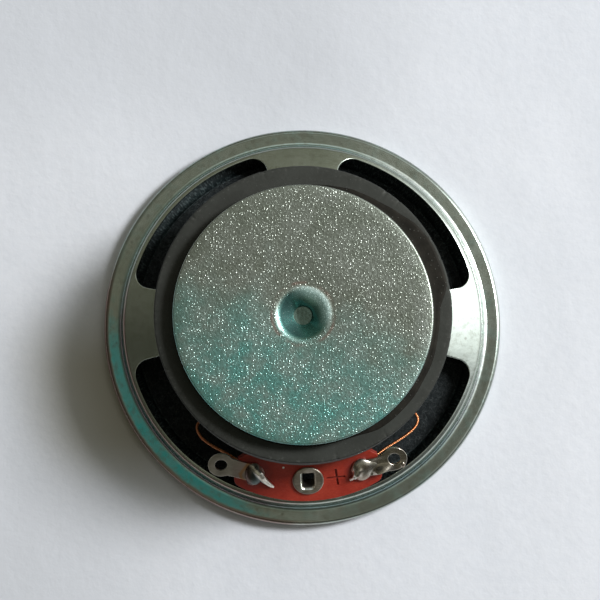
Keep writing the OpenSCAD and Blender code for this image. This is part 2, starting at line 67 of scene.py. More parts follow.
# Cone, surround, gasket and spider
CONE_T, EDGE_Z, CONE_DEPTH, FLARE_R, NECK_R, CONE_EDGE_R = 0.25, 1.675, 3.9, 19.8, 6.725, 20.7
SURROUND_Z, SURROUND_T, ROLL_R, ROLL_MID_R = 1.4, 0.2, 1.0, 21.8
MOVING_LAND_R, FIXED_LAND_R = 20.3, 23.4
GASKET_IN_R, GASKET_OUT_R, GASKET_T = 22.95, 24.25, 1.3
SPIDER_Z, SPIDER_T, SPIDER_IN_R, SPIDER_OUT_R = 6.837, 0.25, 6.6, 16.6
WAVES_IN_R, WAVES_OUT_R, WAVE_COUNT, WAVE_HEIGHT = 7.4, 14.4, 3.5, 0.35

# Board, lugs and leads
BOARD_T, BOARD_HALF, BOARD_LOW, BOARD_TOP, BOARD_ARC_R = 0.8, 9.2, 1.05, 8.05, 16.5
RIVET_V, RIVET_HEAD_R, RIVET_HOLE_R = 4.1, 1.95, 1.4
LUG_SPACING, EYELET_V, EYELET_HOLE_R = 6.6, 5.45, 0.72
LUG_T, LUG_L, LUG_RING_R, WIRE_EYE_R = 0.35, 4.3, 1.6, 0.76
LUG_ANGLES = {1: math.radians(20), -1: math.radians(19)}
ANCHOR_R, STRAND_R, STRAND_WINDING_R, STRAND_PITCH = 12.5, 0.094, 0.096, 0.72


# Shader maths, so that a material's formula reads as plain Python
class Value:
    """A socket of a material or world that is being made."""

    def __init__(self, tree, socket=None):
        self.tree, self.socket = tree, socket

    def make(self, kind, settings=None, output=0, **inputs):
        """Adds a node. An input is given by its name, or by the letter i and its number."""
        node = self.tree.nodes.new(kind)
        for name, setting in (settings or {}).items():
            setattr(node, name, setting)
        for name, given in inputs.items():
            key = int(name[1:]) if name[1:].isdigit() else name
            if isinstance(given, Value):
                self.tree.links.new(given.socket, node.inputs[key])
            else:
                node.inputs[key].default_value = given
        return Value(self.tree, node.outputs[output])

    def maths(self, operation, *others, kind="ShaderNodeMath", output=0):
        inputs = {f"i{i}": given for i, given in enumerate((self, *others))}
        return self.make(kind, {"operation": operation}, output, **inputs)

    def vector(self, operation, *others, output=0):
        return self.maths(operation, *others, kind="ShaderNodeVectorMath", output=output)

    def __add__(self, other): return self.maths("ADD", other)
    def __sub__(self, other): return self.maths("SUBTRACT", other)
    def __mul__(self, other): return self.maths("MULTIPLY", other)
    def __truediv__(self, other): return self.maths("DIVIDE", other)
    def __rsub__(self, other): return self * -1.0 + other
    __radd__, __rmul__ = __add__, __mul__

    def step(self, low, high):
        """0 up to low and 1 from high, with a smooth change between them. high may be the lower one."""
        start, end = (0.0, 1.0) if high > low else (1.0, 0.0)
        return self.make("ShaderNodeMapRange", {"interpolation_type": "SMOOTHSTEP"}, i0=self,
                         i1=min(low, high), i2=max(low, high), i3=start, i4=end)

    def near(self, middle, width):
        """1 at middle, and 0 once it is width away."""
        return (self - middle).maths("ABSOLUTE").step(width, 0.0)

    def scaled(self, *factors):
        return self.vector("MULTIPLY", factors if len(factors) == 3 else factors * 3)

    def distance(self, point):
        return self.vector("DISTANCE", point, output=1)

    def dot(self, direction):
        return self.vector("DOT_PRODUCT", direction, output=1)

    def axes(self):
        return [self.dot(axis) for axis in ((1, 0, 0), (0, 1, 0), (0, 0, 1))]

    def noise(self, scale, detail=3.0, rough=0.6, warp=0.0, output=0):
        return self.make("ShaderNodeTexNoise", output=output, Vector=self, Scale=scale,
                         Detail=detail, Roughness=rough, Distortion=warp)

    def cells(self, scale, feature="F1", output=0):
        return self.make("ShaderNodeTexVoronoi", {"feature": feature}, output, Vector=self, Scale=scale)

    def spots(self, scale, edge, core, weak, strong, axis=0):
        """Round spots, one to a cell, each with a strength of its own."""
        strength = self.cells(scale, output=1).axes()[axis].step(weak, strong)
        return self.cells(scale).step(edge, core) * strength

    def mix(self, low, high):
        """Colour low where this is 0 and colour high where it is 1."""
        low, high = (c if isinstance(c, Value) else (*c, 1) for c in (low, high))
        return self.make("ShaderNodeMix", {"data_type": "RGBA"}, 2, i0=self, i6=low, i7=high)


def painted(colour, *coats):
    """The colour under coats of (how much of the surface is covered, colour), from the lowest up."""
    for cover, coat in coats:
        colour = cover.mix(colour, coat)
    return colour


class Finish(Value):
    """A material on the standard surface shader. As a value it is the position in millimetres."""

    def __init__(self, name, **constants):
        self.material = bpy.data.materials.new(name)
        self.material.use_nodes = True
        tree = self.material.node_tree
        self.shader = tree.nodes["Principled BSDF"]
        for socket, value in constants.items():
            self.shader.inputs[socket.replace("_", " ")].default_value = value
        super().__init__(tree, Value(tree).make("ShaderNodeTexCoord", output=3).scaled(1 / MM).socket)
        self.x, self.y, self.z = self.axes()

    def along(self, x, y):
        """How far a point lies in the direction (x, y)."""
        return self.dot((x, y, 0))

    def radius(self, centre_y=0.0):
        y = self.y - centre_y
        return (self.x * self.x + y * y).maths("SQRT")

    def turn(self):
        """Angle about the axis from +X towards +Y, from -pi to pi."""
        return self.y.maths("ARCTAN2", self.x)

    def polar(self, stretch):
        """Position with the circles rolled out straight: along the circle, outwards, up."""
        return self.make("ShaderNodeCombineXYZ", X=self.turn() * stretch, Y=self.radius(), Z=self.z)

    def feed(self, *bumps, **sockets):
        """Feeds the shader, with bumps of (height from 0 to 1, depth in millimetres)."""
        normal = {}
        for height, depth in bumps:
            normal = {"Normal": self.make("ShaderNodeBump", Height=height, Strength=1.0,
                                          Distance=depth * MM, **normal)}
        for name, value in {**sockets, **normal}.items():
            self.tree.links.new(value.socket, self.shader.inputs[name.replace("_", " ")])
        return self


# Plane shapes
def unit(v):
    """A vector, or each row of an array of them, at length 1."""
    return v / np.linalg.norm(v, axis=-1, keepdims=True)


def arc(x, y, r, angles):
    """Points at the given angles on a circle round (x, y)."""
    return np.column_stack([x + r * np.cos(angles), y + r * np.sin(angles)])


def circle(x, y, r, count=40):
    return arc(x, y, r, np.arange(count) * TAU / count)


def corner_arc(a, b, c, r, n):
    """Points of the arc that rounds the corner at b between a and c."""
    a, b, c = (np.asarray(p, float) for p in (a, b, c))
    u, v = unit(a - b), unit(c - b)
    half = math.acos(np.clip(u @ v, -1, 1)) / 2
    centre = b + unit(u + v) * r / math.sin(half)
    p, q = b + u * r / math.tan(half) - centre, b + v * r / math.tan(half) - centre
    start, sweep = math.atan2(p[1], p[0]), math.atan2(p[0] * q[1] - p[1] * q[0], p @ q)
    return list(arc(*centre, r, np.linspace(start, start + sweep, n + 1)))


def rounded_loop(points, radii, n=4):
    """A closed outline whose corners are rounded, each by its own radius."""
    made = []
    for i, r in enumerate(radii):
        before, corner, after = points[i - 1], points[i], points[(i + 1) % len(points)]
        made += corner_arc(before, corner, after, r, n) if r else [np.array(corner, float)]
    return made


def spaced(loop, step):
    """A closed outline with extra points, so that no two are further apart than step."""
    made = []
    for a, b in zip(loop, np.roll(loop, -1, 0)):
        count = max(1, math.ceil(np.linalg.norm(b - a) / step))
        made += [a + (b - a) * i / count for i in range(count)]
    return made


def sheet(path, t):
    """Closed section of a sheet of thickness t, from its middle line: its left face and back along
    its right face."""
    path = np.array(path, float)
    run = unit(np.diff(path, axis=0))
    left = np.stack([-run[:, 1], run[:, 0]], 1)
    before, after = np.vstack([left[:1], left]), np.vstack([left, left[-1:]])
    middle = unit(before + after)
    step = middle / np.sum(middle * before, axis=1)[:, None] * t / 2
    return np.vstack([path + step, (path - step)[::-1]])


def grown(loop, d):
    """A closed counter-clockwise outline moved outwards by d."""
    ahead = np.roll(loop, -1, 0) - loop
    normal = unit(np.stack([ahead[:, 1], -ahead[:, 0]], 1))
    middle = unit(normal + np.roll(normal, 1, 0))
    return loop + middle * (d / np.clip(np.sum(middle * normal, axis=1), 0.35, 1))[:, None]


def inside(points, loops):
    """Which points lie inside an outline and outside the holes that follow it."""
    x, y = points.T
    hit = np.zeros(len(x), bool)
    for loop in loops:
        for (ax, ay), (bx, by) in zip(loop, np.roll(loop, -1, 0)):
            if ay != by:
                hit ^= ((ay > y) != (by > y)) & (x < (bx - ax) * (y - ay) / (by - ay) + ax)
    return hit


def smoothstep(x, low, high):
    t = np.clip((np.asarray(x, float) - low) / (high - low), 0, 1)
    return t * t * (3 - 2 * t)


# Solid shapes
def add(name, data):
    """A new object in the scene."""
    thing = bpy.data.objects.new(name, data)
    bpy.context.scene.collection.objects.link(thing)
    return thing


def piece_from(name, points, faces, finish=None, sharp=30.0):
    mesh = bpy.data.meshes.new(name)
    mesh.from_pydata([tuple(map(float, p)) for p in points], [], [tuple(map(int, f)) for f in faces])
    work = bmesh.new()
    work.from_mesh(mesh)
    bmesh.ops.remove_doubles(work, verts=work.verts, dist=1e-5)
    bmesh.ops.recalc_face_normals(work, faces=work.faces)
    work.to_mesh(mesh)
    work.free()
    piece = add(name, mesh)
    smooth(piece, sharp)
    if finish:
        mesh.materials.append(finish.material)
    return piece


def smooth(piece, sharp):
    piece.data.shade_smooth()
    piece.data.set_sharp_from_angle(angle=math.radians(sharp))


def settle(piece):
    """Puts a piece's modifiers into its mesh."""
    graph = bpy.context.evaluated_depsgraph_get()
    made = bpy.data.meshes.new_from_object(piece.evaluated_get(graph))
    old, piece.data = piece.data, made
    piece.modifiers.clear()
    bpy.data.meshes.remove(old)


def carve(piece, cutters, sharp=30.0):
    """Cuts the cutters out of a piece, and removes them."""
    for cutter in cutters:
        cut = piece.modifiers.new("cut", "BOOLEAN")
        cut.operation, cut.solver, cut.object = "DIFFERENCE", "MANIFOLD", cutter
    settle(piece)
    for cutter in cutters:
        bpy.data.objects.remove(cutter)
    smooth(piece, sharp)
    even = piece.modifiers.new("even shading", "WEIGHTED_NORMAL")
    even.keep_sharp = True
    settle(piece)


def quads(rows, n, closed=False, start=0):
    """Faces between rows of n points, each row a ring. closed joins the last row to the first."""
    return [(start + k * n + i, start + k * n + (i + 1) % n,
             start + (k + 1) % rows * n + (i + 1) % n, start + (k + 1) % rows * n + i)
            for k in range(rows if closed else rows - 1) for i in range(n)]


def revolve(name, loop, finish, steps=288, sharp=30.0, shape=None):
    """A closed section of (radius, height) points turned about the axis. shape may move the points:
    it gets their grid, with a row for each step of the turn, and the angles of the steps."""
    r, z = np.array(loop, float).T
    turn = np.arange(steps) * TAU / steps
    grid = np.stack([np.outer(way, size) for way, size in (
        (np.cos(turn), r), (np.sin(turn), r), (np.ones(steps), z))], -1)
    if shape:
        grid = shape(grid, turn)
    return piece_from(name, grid.reshape(-1, 3), quads(steps, len(loop), closed=True), finish, sharp)


def through(rings):
    """Points and faces of a solid through closed rings of equally many points, with flat ends."""
    n, last = len(rings[0]), (len(rings) - 1) * len(rings[0])
    ends = [tuple(range(n))[::-1], tuple(range(last, last + n))]
    return np.vstack(rings), quads(len(rings), n) + ends


def level(flat, z):
    """Points of the plane at height z."""
    return np.column_stack([flat, np.full(len(flat), z)])


def across(path):
    """Two directions across a path at each of its points, which don't turn about it."""
    ahead = unit(np.gradient(path, axis=0))
    side = [unit(np.cross(ahead[0], [0.31, 0.17, 0.94]))]
    for a in ahead[1:]:
        side.append(unit(side[-1] - a * (side[-1] @ a)))
    return np.array(side), np.cross(ahead, side)


def tube(path, radii, count=8):
    """Points and faces of a round bar along a path."""
    path = np.array(path, float)
    radii = np.broadcast_to(radii, len(path))
    return through([p + circle(0, 0, r, count) @ [u, v] for p, r, u, v in zip(path, radii, *across(path))])


def stamped(name, loops, thickness, edge, finish, grid=None, shape=None):
    """A flat blank with softened edges, from its outline and its holes, all counter-clockwise.
    Its underside is at 0. grid adds points inside, so that shape can bend it."""
    lower = [(edge * (1 - math.sin(a)), edge * (1 - math.cos(a))) for a in np.radians([0, 30, 60, 90])]
    levels = lower + [(inset, thickness - z) for inset, z in reversed(lower)]
    points, faces, starts, stacks = [], [], [], []
    for loop in loops:
        outwards = 1 if stacks else -1
        starts.append(sum(map(len, points)))
        stacks.append([level(grown(loop, outwards * inset), z) for inset, z in levels])
        points += stacks[-1]
        faces += quads(len(levels), len(loop), start=starts[-1])
    for end in (0, len(levels) - 1):
        rings = [stack[end][:, :2] for stack in stacks]
        index, edges = [], []
        for start, ring in zip(starts, rings):
            at, n = len(index), len(ring)
            index += range(start + end * n, start + (end + 1) * n)
            edges += [(at + i, at + (i + 1) % n) for i in range(n)]
        extra = np.empty((0, 2))
        if grid:
            (left, low), (right, high) = rings[0].min(0), rings[0].max(0)
            mesh = np.meshgrid(np.arange(left, right, grid), np.arange(low, high, grid))
            mesh = np.stack(mesh, -1).reshape(-1, 2)
            margins = [-0.4 * grid] + [0.4 * grid] * (len(rings) - 1)
            extra = mesh[inside(mesh, [grown(ring, d) for ring, d in zip(rings, margins)])]
        total = sum(map(len, points))
        index += range(total, total + len(extra))
        points.append(level(extra, levels[end][1]))
        found, _, triangles, origin, *_ = geometry.delaunay_2d_cdt(
            [Vector(p) for p in np.vstack([*rings, extra])], edges, [], 0, 1e-6)
        middles = np.array([np.mean([found[i] for i in t], axis=0) for t in triangles])
        faces += [tuple(index[origin[i][0]] for i in t)
                  for t, kept in zip(triangles, inside(middles, rings)) if kept]
    points = np.vstack(points)
    return piece_from(name, shape(points) if shape else points, faces, finish, 40)


def melted(name, drops, peaks, floor_z, finish):
    """One smooth skin round drops (centre, radii) and tapering peaks (path, radii) that run together
    and end flat at floor_z."""
    grain, run = 0.05, 0.14
    reach = [p for path, _ in peaks for p in path]
    reach += [np.add(centre, sign * np.array(radii)) for centre, radii in drops for sign in (-1, 1)]
    low, high = np.min(reach, axis=0) - 0.4, np.max(reach, axis=0) + 0.4
    low[2] = floor_z - 2 * grain
    axes = [np.arange(a, b, grain) for a, b in zip(low, high)]
    p = np.stack(np.meshgrid(*axes, indexing="ij"), -1)
    fields = []
    for centre, radii in drops:
        near, slope = (p - centre) / radii, (p - centre) / np.square(radii)
        k = np.linalg.norm(near, axis=-1)
        fields.append(k * (k - 1) / np.maximum(np.linalg.norm(slope, axis=-1), 1e-6))
    for path, radii in peaks:
        bars = []
        for a, b, ra, rb in zip(path, path[1:], radii, radii[1:]):
            ahead = np.subtract(b, a)
            t = np.clip((p - a) @ ahead / (ahead @ ahead), 0, 1)
            bars.append(np.linalg.norm(p - a - t[..., None] * ahead, axis=-1) - ra - (rb - ra) * t)
        fields.append(np.min(bars, axis=0))
    f = -run * np.log(sum(np.exp(np.clip(-field / run, -60, 60)) for field in fields))
    return skin(name, np.maximum(f, floor_z - p[..., 2]), low, grain, finish)


def skin(name, f, low, grain, finish):
    """The surface where a sampled field is 0."""
    size = np.array(f.shape) - 1
    total, count = np.zeros((*size, 3)), np.zeros(size)

    def corner(c):
        return f[c[0]:c[0] + size[0], c[1]:c[1] + size[1], c[2]:c[2] + size[2]]

    for a in map(np.array, np.ndindex(2, 2, 2)):
        for step in np.eye(3, dtype=int):
            if a @ step == 0:
                va, vb = corner(a), corner(a + step)
                cut = (va < 0) != (vb < 0)
                share = np.where(cut, va / np.where(cut, va - vb, 1), 0)
                total += np.where(cut[..., None], a + share[..., None] * step, 0)
                count += cut
    held = count > 0
    index = np.full(size, -1)
    index[held] = np.arange(held.sum())
    points = (np.argwhere(held) + total[held] / count[held][:, None]) * grain + low
    faces = []
    for axis in range(3):
        ahead, cells = np.moveaxis(f, axis, 0), np.moveaxis(index, axis, 0)
        cut = (ahead[:-1] < 0) != (ahead[1:] < 0)
        i, j, k = np.nonzero(cut[:, 1:-1, 1:-1])
        faces.append(np.stack([cells[i, j, k], cells[i, j + 1, k], cells[i, j + 1, k + 1],
                               cells[i, j, k + 1]], 1))
    piece = piece_from(name, points, np.vstack(faces), finish, 180)
    flow = piece.modifiers.new("flow", "SMOOTH")
    flow.factor, flow.iterations = 0.5, 3
    settle(piece)
    smooth(piece, 180)
    return piece


# Pieces in the frame
def to_metres(piece):
    piece.data.transform(Matrix.Diagonal((MM, MM, MM, 1)))


def shift(x, y, z):
    """A move in millimetres."""
    return Matrix.Translation(Vector((x, y, z)) * MM)


def stand_for(node):
    """Hides the CAD node that a piece replaces."""
    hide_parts(node)


def keep(piece, node, place=None, body="frame"):
    """Brings a piece from millimetres to metres, and sets it on a body of the frame."""
    to_metres(piece)
    if place is not None:
        piece.matrix_world = place
    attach(piece, body)
    stand_for(node)


def dress(finish, *nodes):
    """Gives CAD nodes a finish."""
    for node in nodes:
        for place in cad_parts[node].material_slots:
            place.material = finish.material


# The terminal board lies on the sloping wall: x along it, y up the slope, z out of its underside
BOARD = (Matrix.Rotation(math.radians(2), 4, "Z")
         @ shift(0, -SHOULDER_R, SHOULDER_Z + SHEET / 2 / math.cos(WALL_ANGLE))
         @ Matrix.Rotation(WALL_ANGLE, 4, "X") @ shift(0, 0, 0.15))
BOARD_MM = np.array(BOARD)
BOARD_MM[:3, 3] /= MM


def on_board(points):
    return np.asarray(points, float) @ BOARD_MM[:3, :3].T + BOARD_MM[:3, 3]


def off_board(points):
    return (points - BOARD_MM[:3, 3]) @ BOARD_MM[:3, :3]


# Camera and light
def camera():
    """The photograph's camera, nearly straight above and tilted a little towards the terminals."""
    tilt, yaw, focal_length = 0.0895, 0.0047, 167.24
    lens = bpy.data.cameras.new("photo camera")
    lens.sensor_width, lens.lens = 36.0, focal_length
    lens.clip_start, lens.clip_end = 0.01, 20.0
    down = Vector((0, math.sin(tilt), -math.cos(tilt)))
    up, right = Vector((0, math.cos(tilt), math.sin(tilt))), Vector((1, 0, 0))
    ahead = math.cos(yaw) * down + math.sin(yaw) * right
    sideways = math.cos(yaw) * right - math.sin(yaw) * down
    eye = add("photo camera", lens)
    eye.matrix_world = (shift(-1.952, -28.1362, 352.492)
                        @ Matrix((sideways, up, -ahead)).transposed().to_4x4())
    bpy.context.scene.camera = eye


def window():
    """The window that lights the speaker, as a soft lamp."""
    turn, rise, distance = math.radians(22.5), math.radians(46), 0.8
    lamp = bpy.data.lights.new("window", "AREA")
    lamp.shape, lamp.size, lamp.size_y = "RECTANGLE", 0.18, 0.28
    lamp.energy, lamp.color = 6.9, (0.945, 0.965, 0.99)
    box = add("window", lamp)
    way = Vector((math.cos(turn) * math.cos(rise), math.sin(turn) * math.cos(rise), math.sin(rise)))
    box.location = way * distance
    box.rotation_mode = "QUATERNION"
    box.rotation_quaternion = way.to_track_quat("Z", "Y")


def room():
    """A dim room, pale at the horizon except to the left, and paler behind the speaker."""
    world = bpy.data.worlds.new("room")
    bpy.context.scene.world = world
    world.use_nodes = True
    tree = world.node_tree
    x, y, z = Value(tree).make("ShaderNodeTexCoord").axes()
    left = x.step(0.1, -0.4)
    low = z.step(0.30, 0.04)
    upper = 0.07 + y.step(-0.1, 0.7) * 0.14 + (x * 0.92 + y * 0.38).step(0.25, 0.8) * 0.07
    upper = (upper * z.step(0.97, 0.85) + z.step(0.85, 0.97) * 0.118) * (1.0 - left * 0.1)
    glow = (x * 0.87 + y * 0.25 + z * 0.42).step(0.87, 0.98)
    doorway = (x * -0.46 - y * 0.58 + z * 0.67).step(0.955, 0.985)
    beside = (x * 0.56 + y * 0.71 + z * 0.42).step(0.89, 0.985)
    panes = z.near(0.79, 0.21) * x.step(-0.45, -0.1) * y.step(-0.62, -0.30)
    brightness = (low * (0.29 - left * 0.21) + (1.0 - low) * upper
                  + glow * 1.2 + beside * 0.3 + doorway * 0.2 + panes * 0.62)
    daylight = (low * (1.0 - left)).maths("MAXIMUM", x.step(0.1, 0.6)).maths("MAXIMUM", panes)
    colour = daylight.mix((1.0, 0.99, 0.76), (0.97, 1.0, 1.0))
    lit = colour.make("ShaderNodeVectorMath", {"operation": "SCALE"}, i0=colour, Scale=brightness)
    tree.links.new(lit.socket, tree.nodes["Background"].inputs["Color"])


def paper_floor():
    """White paper with a faint mottle, painted shade of three wide dips in the sheet, and a painted warm
    shadow to the lower left.
    """
    paper = Finish("writing_paper", Roughness=0.8, IOR=1.3)
    mottle = paper.noise(0.035, 3.0, 0.55)
    speck = paper.noise(0.9, 2.0)
    # Painted shade of three wide dips in the sheet; the floor itself stays flat
    painted_wave_shade = sum(paper.distance(middle).step(reach, 4) * depth for middle, reach, depth in (
        ((-4, 38, 0), 27, 0.8), ((-36, -32, 0), 26, 0.7), ((-36, 42, 0), 30, 0.7)))
    # Painted shadow beside the speaker to the lower left, darker and warmer than the lamps make it
    painted_shade = (paper.along(-0.98, -0.2).step(19, 24) * paper.radius().step(40, 26)
             * paper.y.step(4, -6) * paper.y.step(-22, -13))
    colour = painted(
        (mottle.step(0.35, 0.65) * 0.6 + speck.step(0.4, 0.6) * 0.4).mix(
            (0.66, 0.675, 0.715), (0.70, 0.71, 0.745)),
        (painted_wave_shade, (0.56, 0.572, 0.605)), (painted_shade * 0.95, (0.44, 0.42, 0.36)))
    paper.feed((paper.noise(0.02, 3.0, 0.5), 1.2), (paper.noise(0.25, 4.0), 0.10), (speck, 0.03),
               Base_Color=colour)
    span, sink = 4000.0, 0.02
    corners = [(x * span, y * span, -sink) for x, y in ((-1, -1), (1, -1), (1, 1), (-1, 1))]
    floor = piece_from("paper_floor", corners, [(0, 1, 2, 3)], paper)
    to_metres(floor)


camera()
room()
window()
paper_floor()


# Finishes
def zinc_finish():
    """Zinc plated sheet, satin, with the thin teal and pink films of the plating, and painted highlights
    and painted shade on the flange, the wall and the bends.
    """
    zinc = Finish("zinc_plate", Metallic=1.0)
    r = zinc.radius()
    cloud, drift = zinc.noise(0.09, 3.0, 0.55), zinc.noise(0.5)
    grain, mottle = zinc.polar(20.0).noise(1.6, 4.0), zinc.noise(1.3, 4.0, 0.65)
    spots = zinc.spots(0.55, 0.14, 0.05, 0.5, 0.8, axis=1)
    rust = zinc.noise(1.4, 4.0, 0.7).step(0.62, 0.72) * (r.step(24.6, 24.95) + zinc.z.step(0.9, 0.3))
    lower_left = zinc.along(-0.79, -0.61) + (drift - 0.5) * 7.0
    # Masks for the top, the right and the lower right, where highlights and shade are painted
    top = zinc.along(-0.5, 0.85).step(1.0, 9.0)
    right = zinc.along(0.95, 0.3).step(11.0, 18.0)
    lower_right = zinc.along(0.77, -0.64).step(13.0, 22.0)
    rim = r.step(23.2, 23.6)
    teal = lower_left.step(17.0, 21.5) * (r + (drift - 0.5) * 0.4).step(24.65, 24.2) * r.step(22.95, 23.4)
    fringe = lower_left.step(12.0, 18.0) * (r.step(24.35, 24.6) + r.near(22.4, 0.4))
    foot = lower_left.step(13.0, 19.0) * r.near(22.85, 0.35)
    colour = painted(
        cloud.step(0.35, 0.7).mix((0.46, 0.51, 0.44), (0.56, 0.61, 0.55)),
        # A paler flange, with a painted highlight that makes it paler still on the right
        (rim * (right * 0.35 + 0.25), (0.80, 0.88, 0.80)),
        # Painted highlight on the wall to the right
        (right * r.step(22.4, 22.0) * 0.45, (0.82, 0.90, 0.84)),
        # Painted shade on the flange to the lower right
        (lower_right * rim * 0.6, (0.26, 0.29, 0.26)),
        # At the bend at the foot of the wall: a painted highlight on the right and a painted blue-grey
        # reflection elsewhere
        (r.near(22.95, 0.5) * 0.8, right.mix((0.42, 0.60, 0.62), (0.95, 1.0, 0.98))),
        # Painted shade on the outer lip and the shoulder toward the top
        (top * (r.step(24.4, 24.6) + r.near(22.4, 0.28)) * 0.75, (0.20, 0.23, 0.21)),
        (drift.step(0.45, 0.75) * r.step(22.6, 23.4) * 0.5, (0.44, 0.62, 0.58)),
        (fringe * 0.85, (0.30, 0.19, 0.17)),
        (teal * 0.96, drift.step(0.3, 0.6).mix((0.12, 0.86, 0.94), (0.24, 0.82, 0.89))),
        # The pink film at the foot of the wall to the lower left, darkened there by painted shade
        (foot * 0.85, (0.24, 0.15, 0.17)),
        (spots * 0.4, (0.20, 0.17, 0.13)),
        (mottle.step(0.48, 0.66) * 0.35, (0.33, 0.34, 0.28)),
        (rust * 0.5, (0.20, 0.13, 0.08)))
    return zinc.feed((zinc.noise(0.5, 2.0, 0.5), 0.012), (grain, 0.006), (drift, 0.02),
                     Base_Color=colour, Roughness=0.17 + cloud * 0.08 + grain * 0.07)


def plated_iron_finish():
    """Blasted and zinc plated iron: grains that each catch the window at their own angle. In the dimple,
    painted shade darkens the side away from the window, and a pale speckled crescent that faces the window
    is a painted highlight."""
    iron = Finish("blasted_zinc", Metallic=1.0)
    ring = iron.radius()
    cloud, drift = iron.noise(0.10), iron.noise(0.30, 3.0, 0.65)
    pits = iron.spots(3.0, 0.36, 0.03, 0.2, 0.9)
    small_pits = iron.spots(5.5, 0.40, 0.05, 0.2, 1.0)
    fine = iron.noise(3.3, 1.0, 0.5)
    # Speckles for the painted highlight of the crescent
    frost = iron.cells(4.6).step(0.45, 0.1)
    teal = (iron.along(-0.25, -0.9) + (cloud - 0.5) * 22.0 + (drift - 0.5) * 9.0).step(-4.0, 9.0)
    bowl = ring.step(3.4, 2.7)
    # Painted shade on the side of the dimple away from the window
    painted_shade = ring.step(2.95, 2.6) * iron.along(-0.9, -0.3).step(0.3, 1.4)
    facing = (iron.along(0.74, 0.67) / ring).step(0.0, 1.0) * ring.step(1.05, 1.2)
    # Painted highlight: a pale, speckled crescent on the dimple's wall that faces the window
    painted_crescent_highlight = facing * ring.step(3.55, 3.25) * ring.step(1.6, 2.9) * (0.5 + frost * 0.5)
    out_of_bowl = 1.0 - bowl * 0.6
    flat = out_of_bowl * ring.step(1.0, 1.3)
    colour = painted(
        drift.step(0.3, 0.7).mix((0.265, 0.295, 0.245), (0.335, 0.365, 0.32)),
        (teal * 0.85, drift.step(0.35, 0.65).mix((0.17, 0.47, 0.43), (0.30, 0.46, 0.42))),
        (ring.near(3.8, 0.32) * drift.step(0.4, 0.6) * 0.6, (0.34, 0.20, 0.16)),
        (bowl * 0.85, (0.15, 0.38, 0.345)),
        (painted_shade * 0.85, (0.035, 0.075, 0.07)),
        (painted_crescent_highlight * 0.95, (0.78, 1.0, 0.95)),
        (ring.step(1.22, 1.08) * 0.85, (0.16, 0.215, 0.175)),
        (pits * out_of_bowl * 0.7, (0.50, 0.52, 0.47)))
    return iron.feed(
        (facing * ring.step(3.7, 1.3), 0.62), (pits * flat, 0.040),
        (small_pits * (flat * 0.18 + painted_crescent_highlight * 0.25 + ring.near(3.2, 0.4) * 0.6), 0.10),
        (fine * (1.0 - bowl * 0.3), 0.022), Base_Color=colour, Metallic=1.0 - painted_crescent_highlight * 0.95,
        Roughness=0.30 + fine * 0.12 + painted_crescent_highlight * 0.24 - bowl * 0.08 + painted_shade * 0.3)


def ferrite_finish():
    """Grey-black sintered ferrite, scuffed at its edges."""
    ferrite = Finish("ferrite", Metallic=0.0, IOR=1.46, Specular_Tint=(1.0, 0.99, 0.88, 1.0))
    marks, cloud = ferrite.polar(18.0).noise(2.2), ferrite.noise(0.25)
    specks = ferrite.cells(2.2).step(0.09, 0.03)
    near_edge = ferrite.radius(MAGNET_SHIFT).step(17.1, 17.9)
    scuffs = ferrite.noise(2.6, 4.0, 0.75).step(0.56, 0.66) * near_edge
    colour = painted(
        (cloud * 0.7 + marks * 0.3).step(0.35, 0.7).mix((0.012, 0.0135, 0.012), (0.023, 0.025, 0.0225)),
        (specks * 0.6, (0.18, 0.18, 0.17)), (scuffs * 0.45, (0.10, 0.10, 0.095)))
    return ferrite.feed((marks, 0.01), (ferrite.noise(4.0), 0.01), Base_Color=colour,
                        Roughness=0.52 + cloud * 0.15)


def adhesive_finish():
    """Black adhesive with small bubbles."""
    glue = Finish("magnet_adhesive", IOR=1.24, Specular_Tint=(1.0, 0.93, 0.8, 1.0))
    bubbles, cloud = glue.cells(1.6).step(0.20, 0.05), glue.noise(0.5)
    colour = painted(cloud.step(0.3, 0.7).mix((0.005, 0.0047, 0.0038), (0.014, 0.0125, 0.0098)),
                     (bubbles * 0.5, (0.10, 0.10, 0.09)))
    return glue.feed((cloud, 0.05), (bubbles, 0.05), Base_Color=colour, Roughness=0.50 + cloud * 0.16)


def paper_finish():
    """Black pulp with pale fibres on it."""
    paper = Finish("black_pulp", IOR=1.22, Sheen_Weight=0.05, Sheen_Roughness=0.5)
    tufts = paper.noise(2.0, 4.0, 0.7)
    bent = paper.vector("ADD", paper.noise(0.9, 2.0, 0.5, output=1).scaled(1.6))
    long_fibres = bent.cells(0.9, "DISTANCE_TO_EDGE").step(0.05, 0.0)
    short_fibres = bent.cells(2.1, "DISTANCE_TO_EDGE").step(0.08, 0.0)
    fibres = long_fibres.maths("MAXIMUM", short_fibres * 0.7) * tufts.step(0.35, 0.6)
    colour = painted(tufts.step(0.3, 0.7).mix((0.0065, 0.009, 0.0095), (0.020, 0.024, 0.025)),
                     (fibres * 0.75, (0.062, 0.072, 0.072)))
    return paper.feed((tufts, 0.18), (fibres, 0.06), Base_Color=colour, Roughness=0.72 + tufts * 0.2)


def woven(warp, weft):
    """Height of a cloth whose weave repeats with each whole number of warp and of weft."""
    return (warp * TAU).maths("SINE") * (weft * TAU).maths("SINE") * 0.5 + 0.5


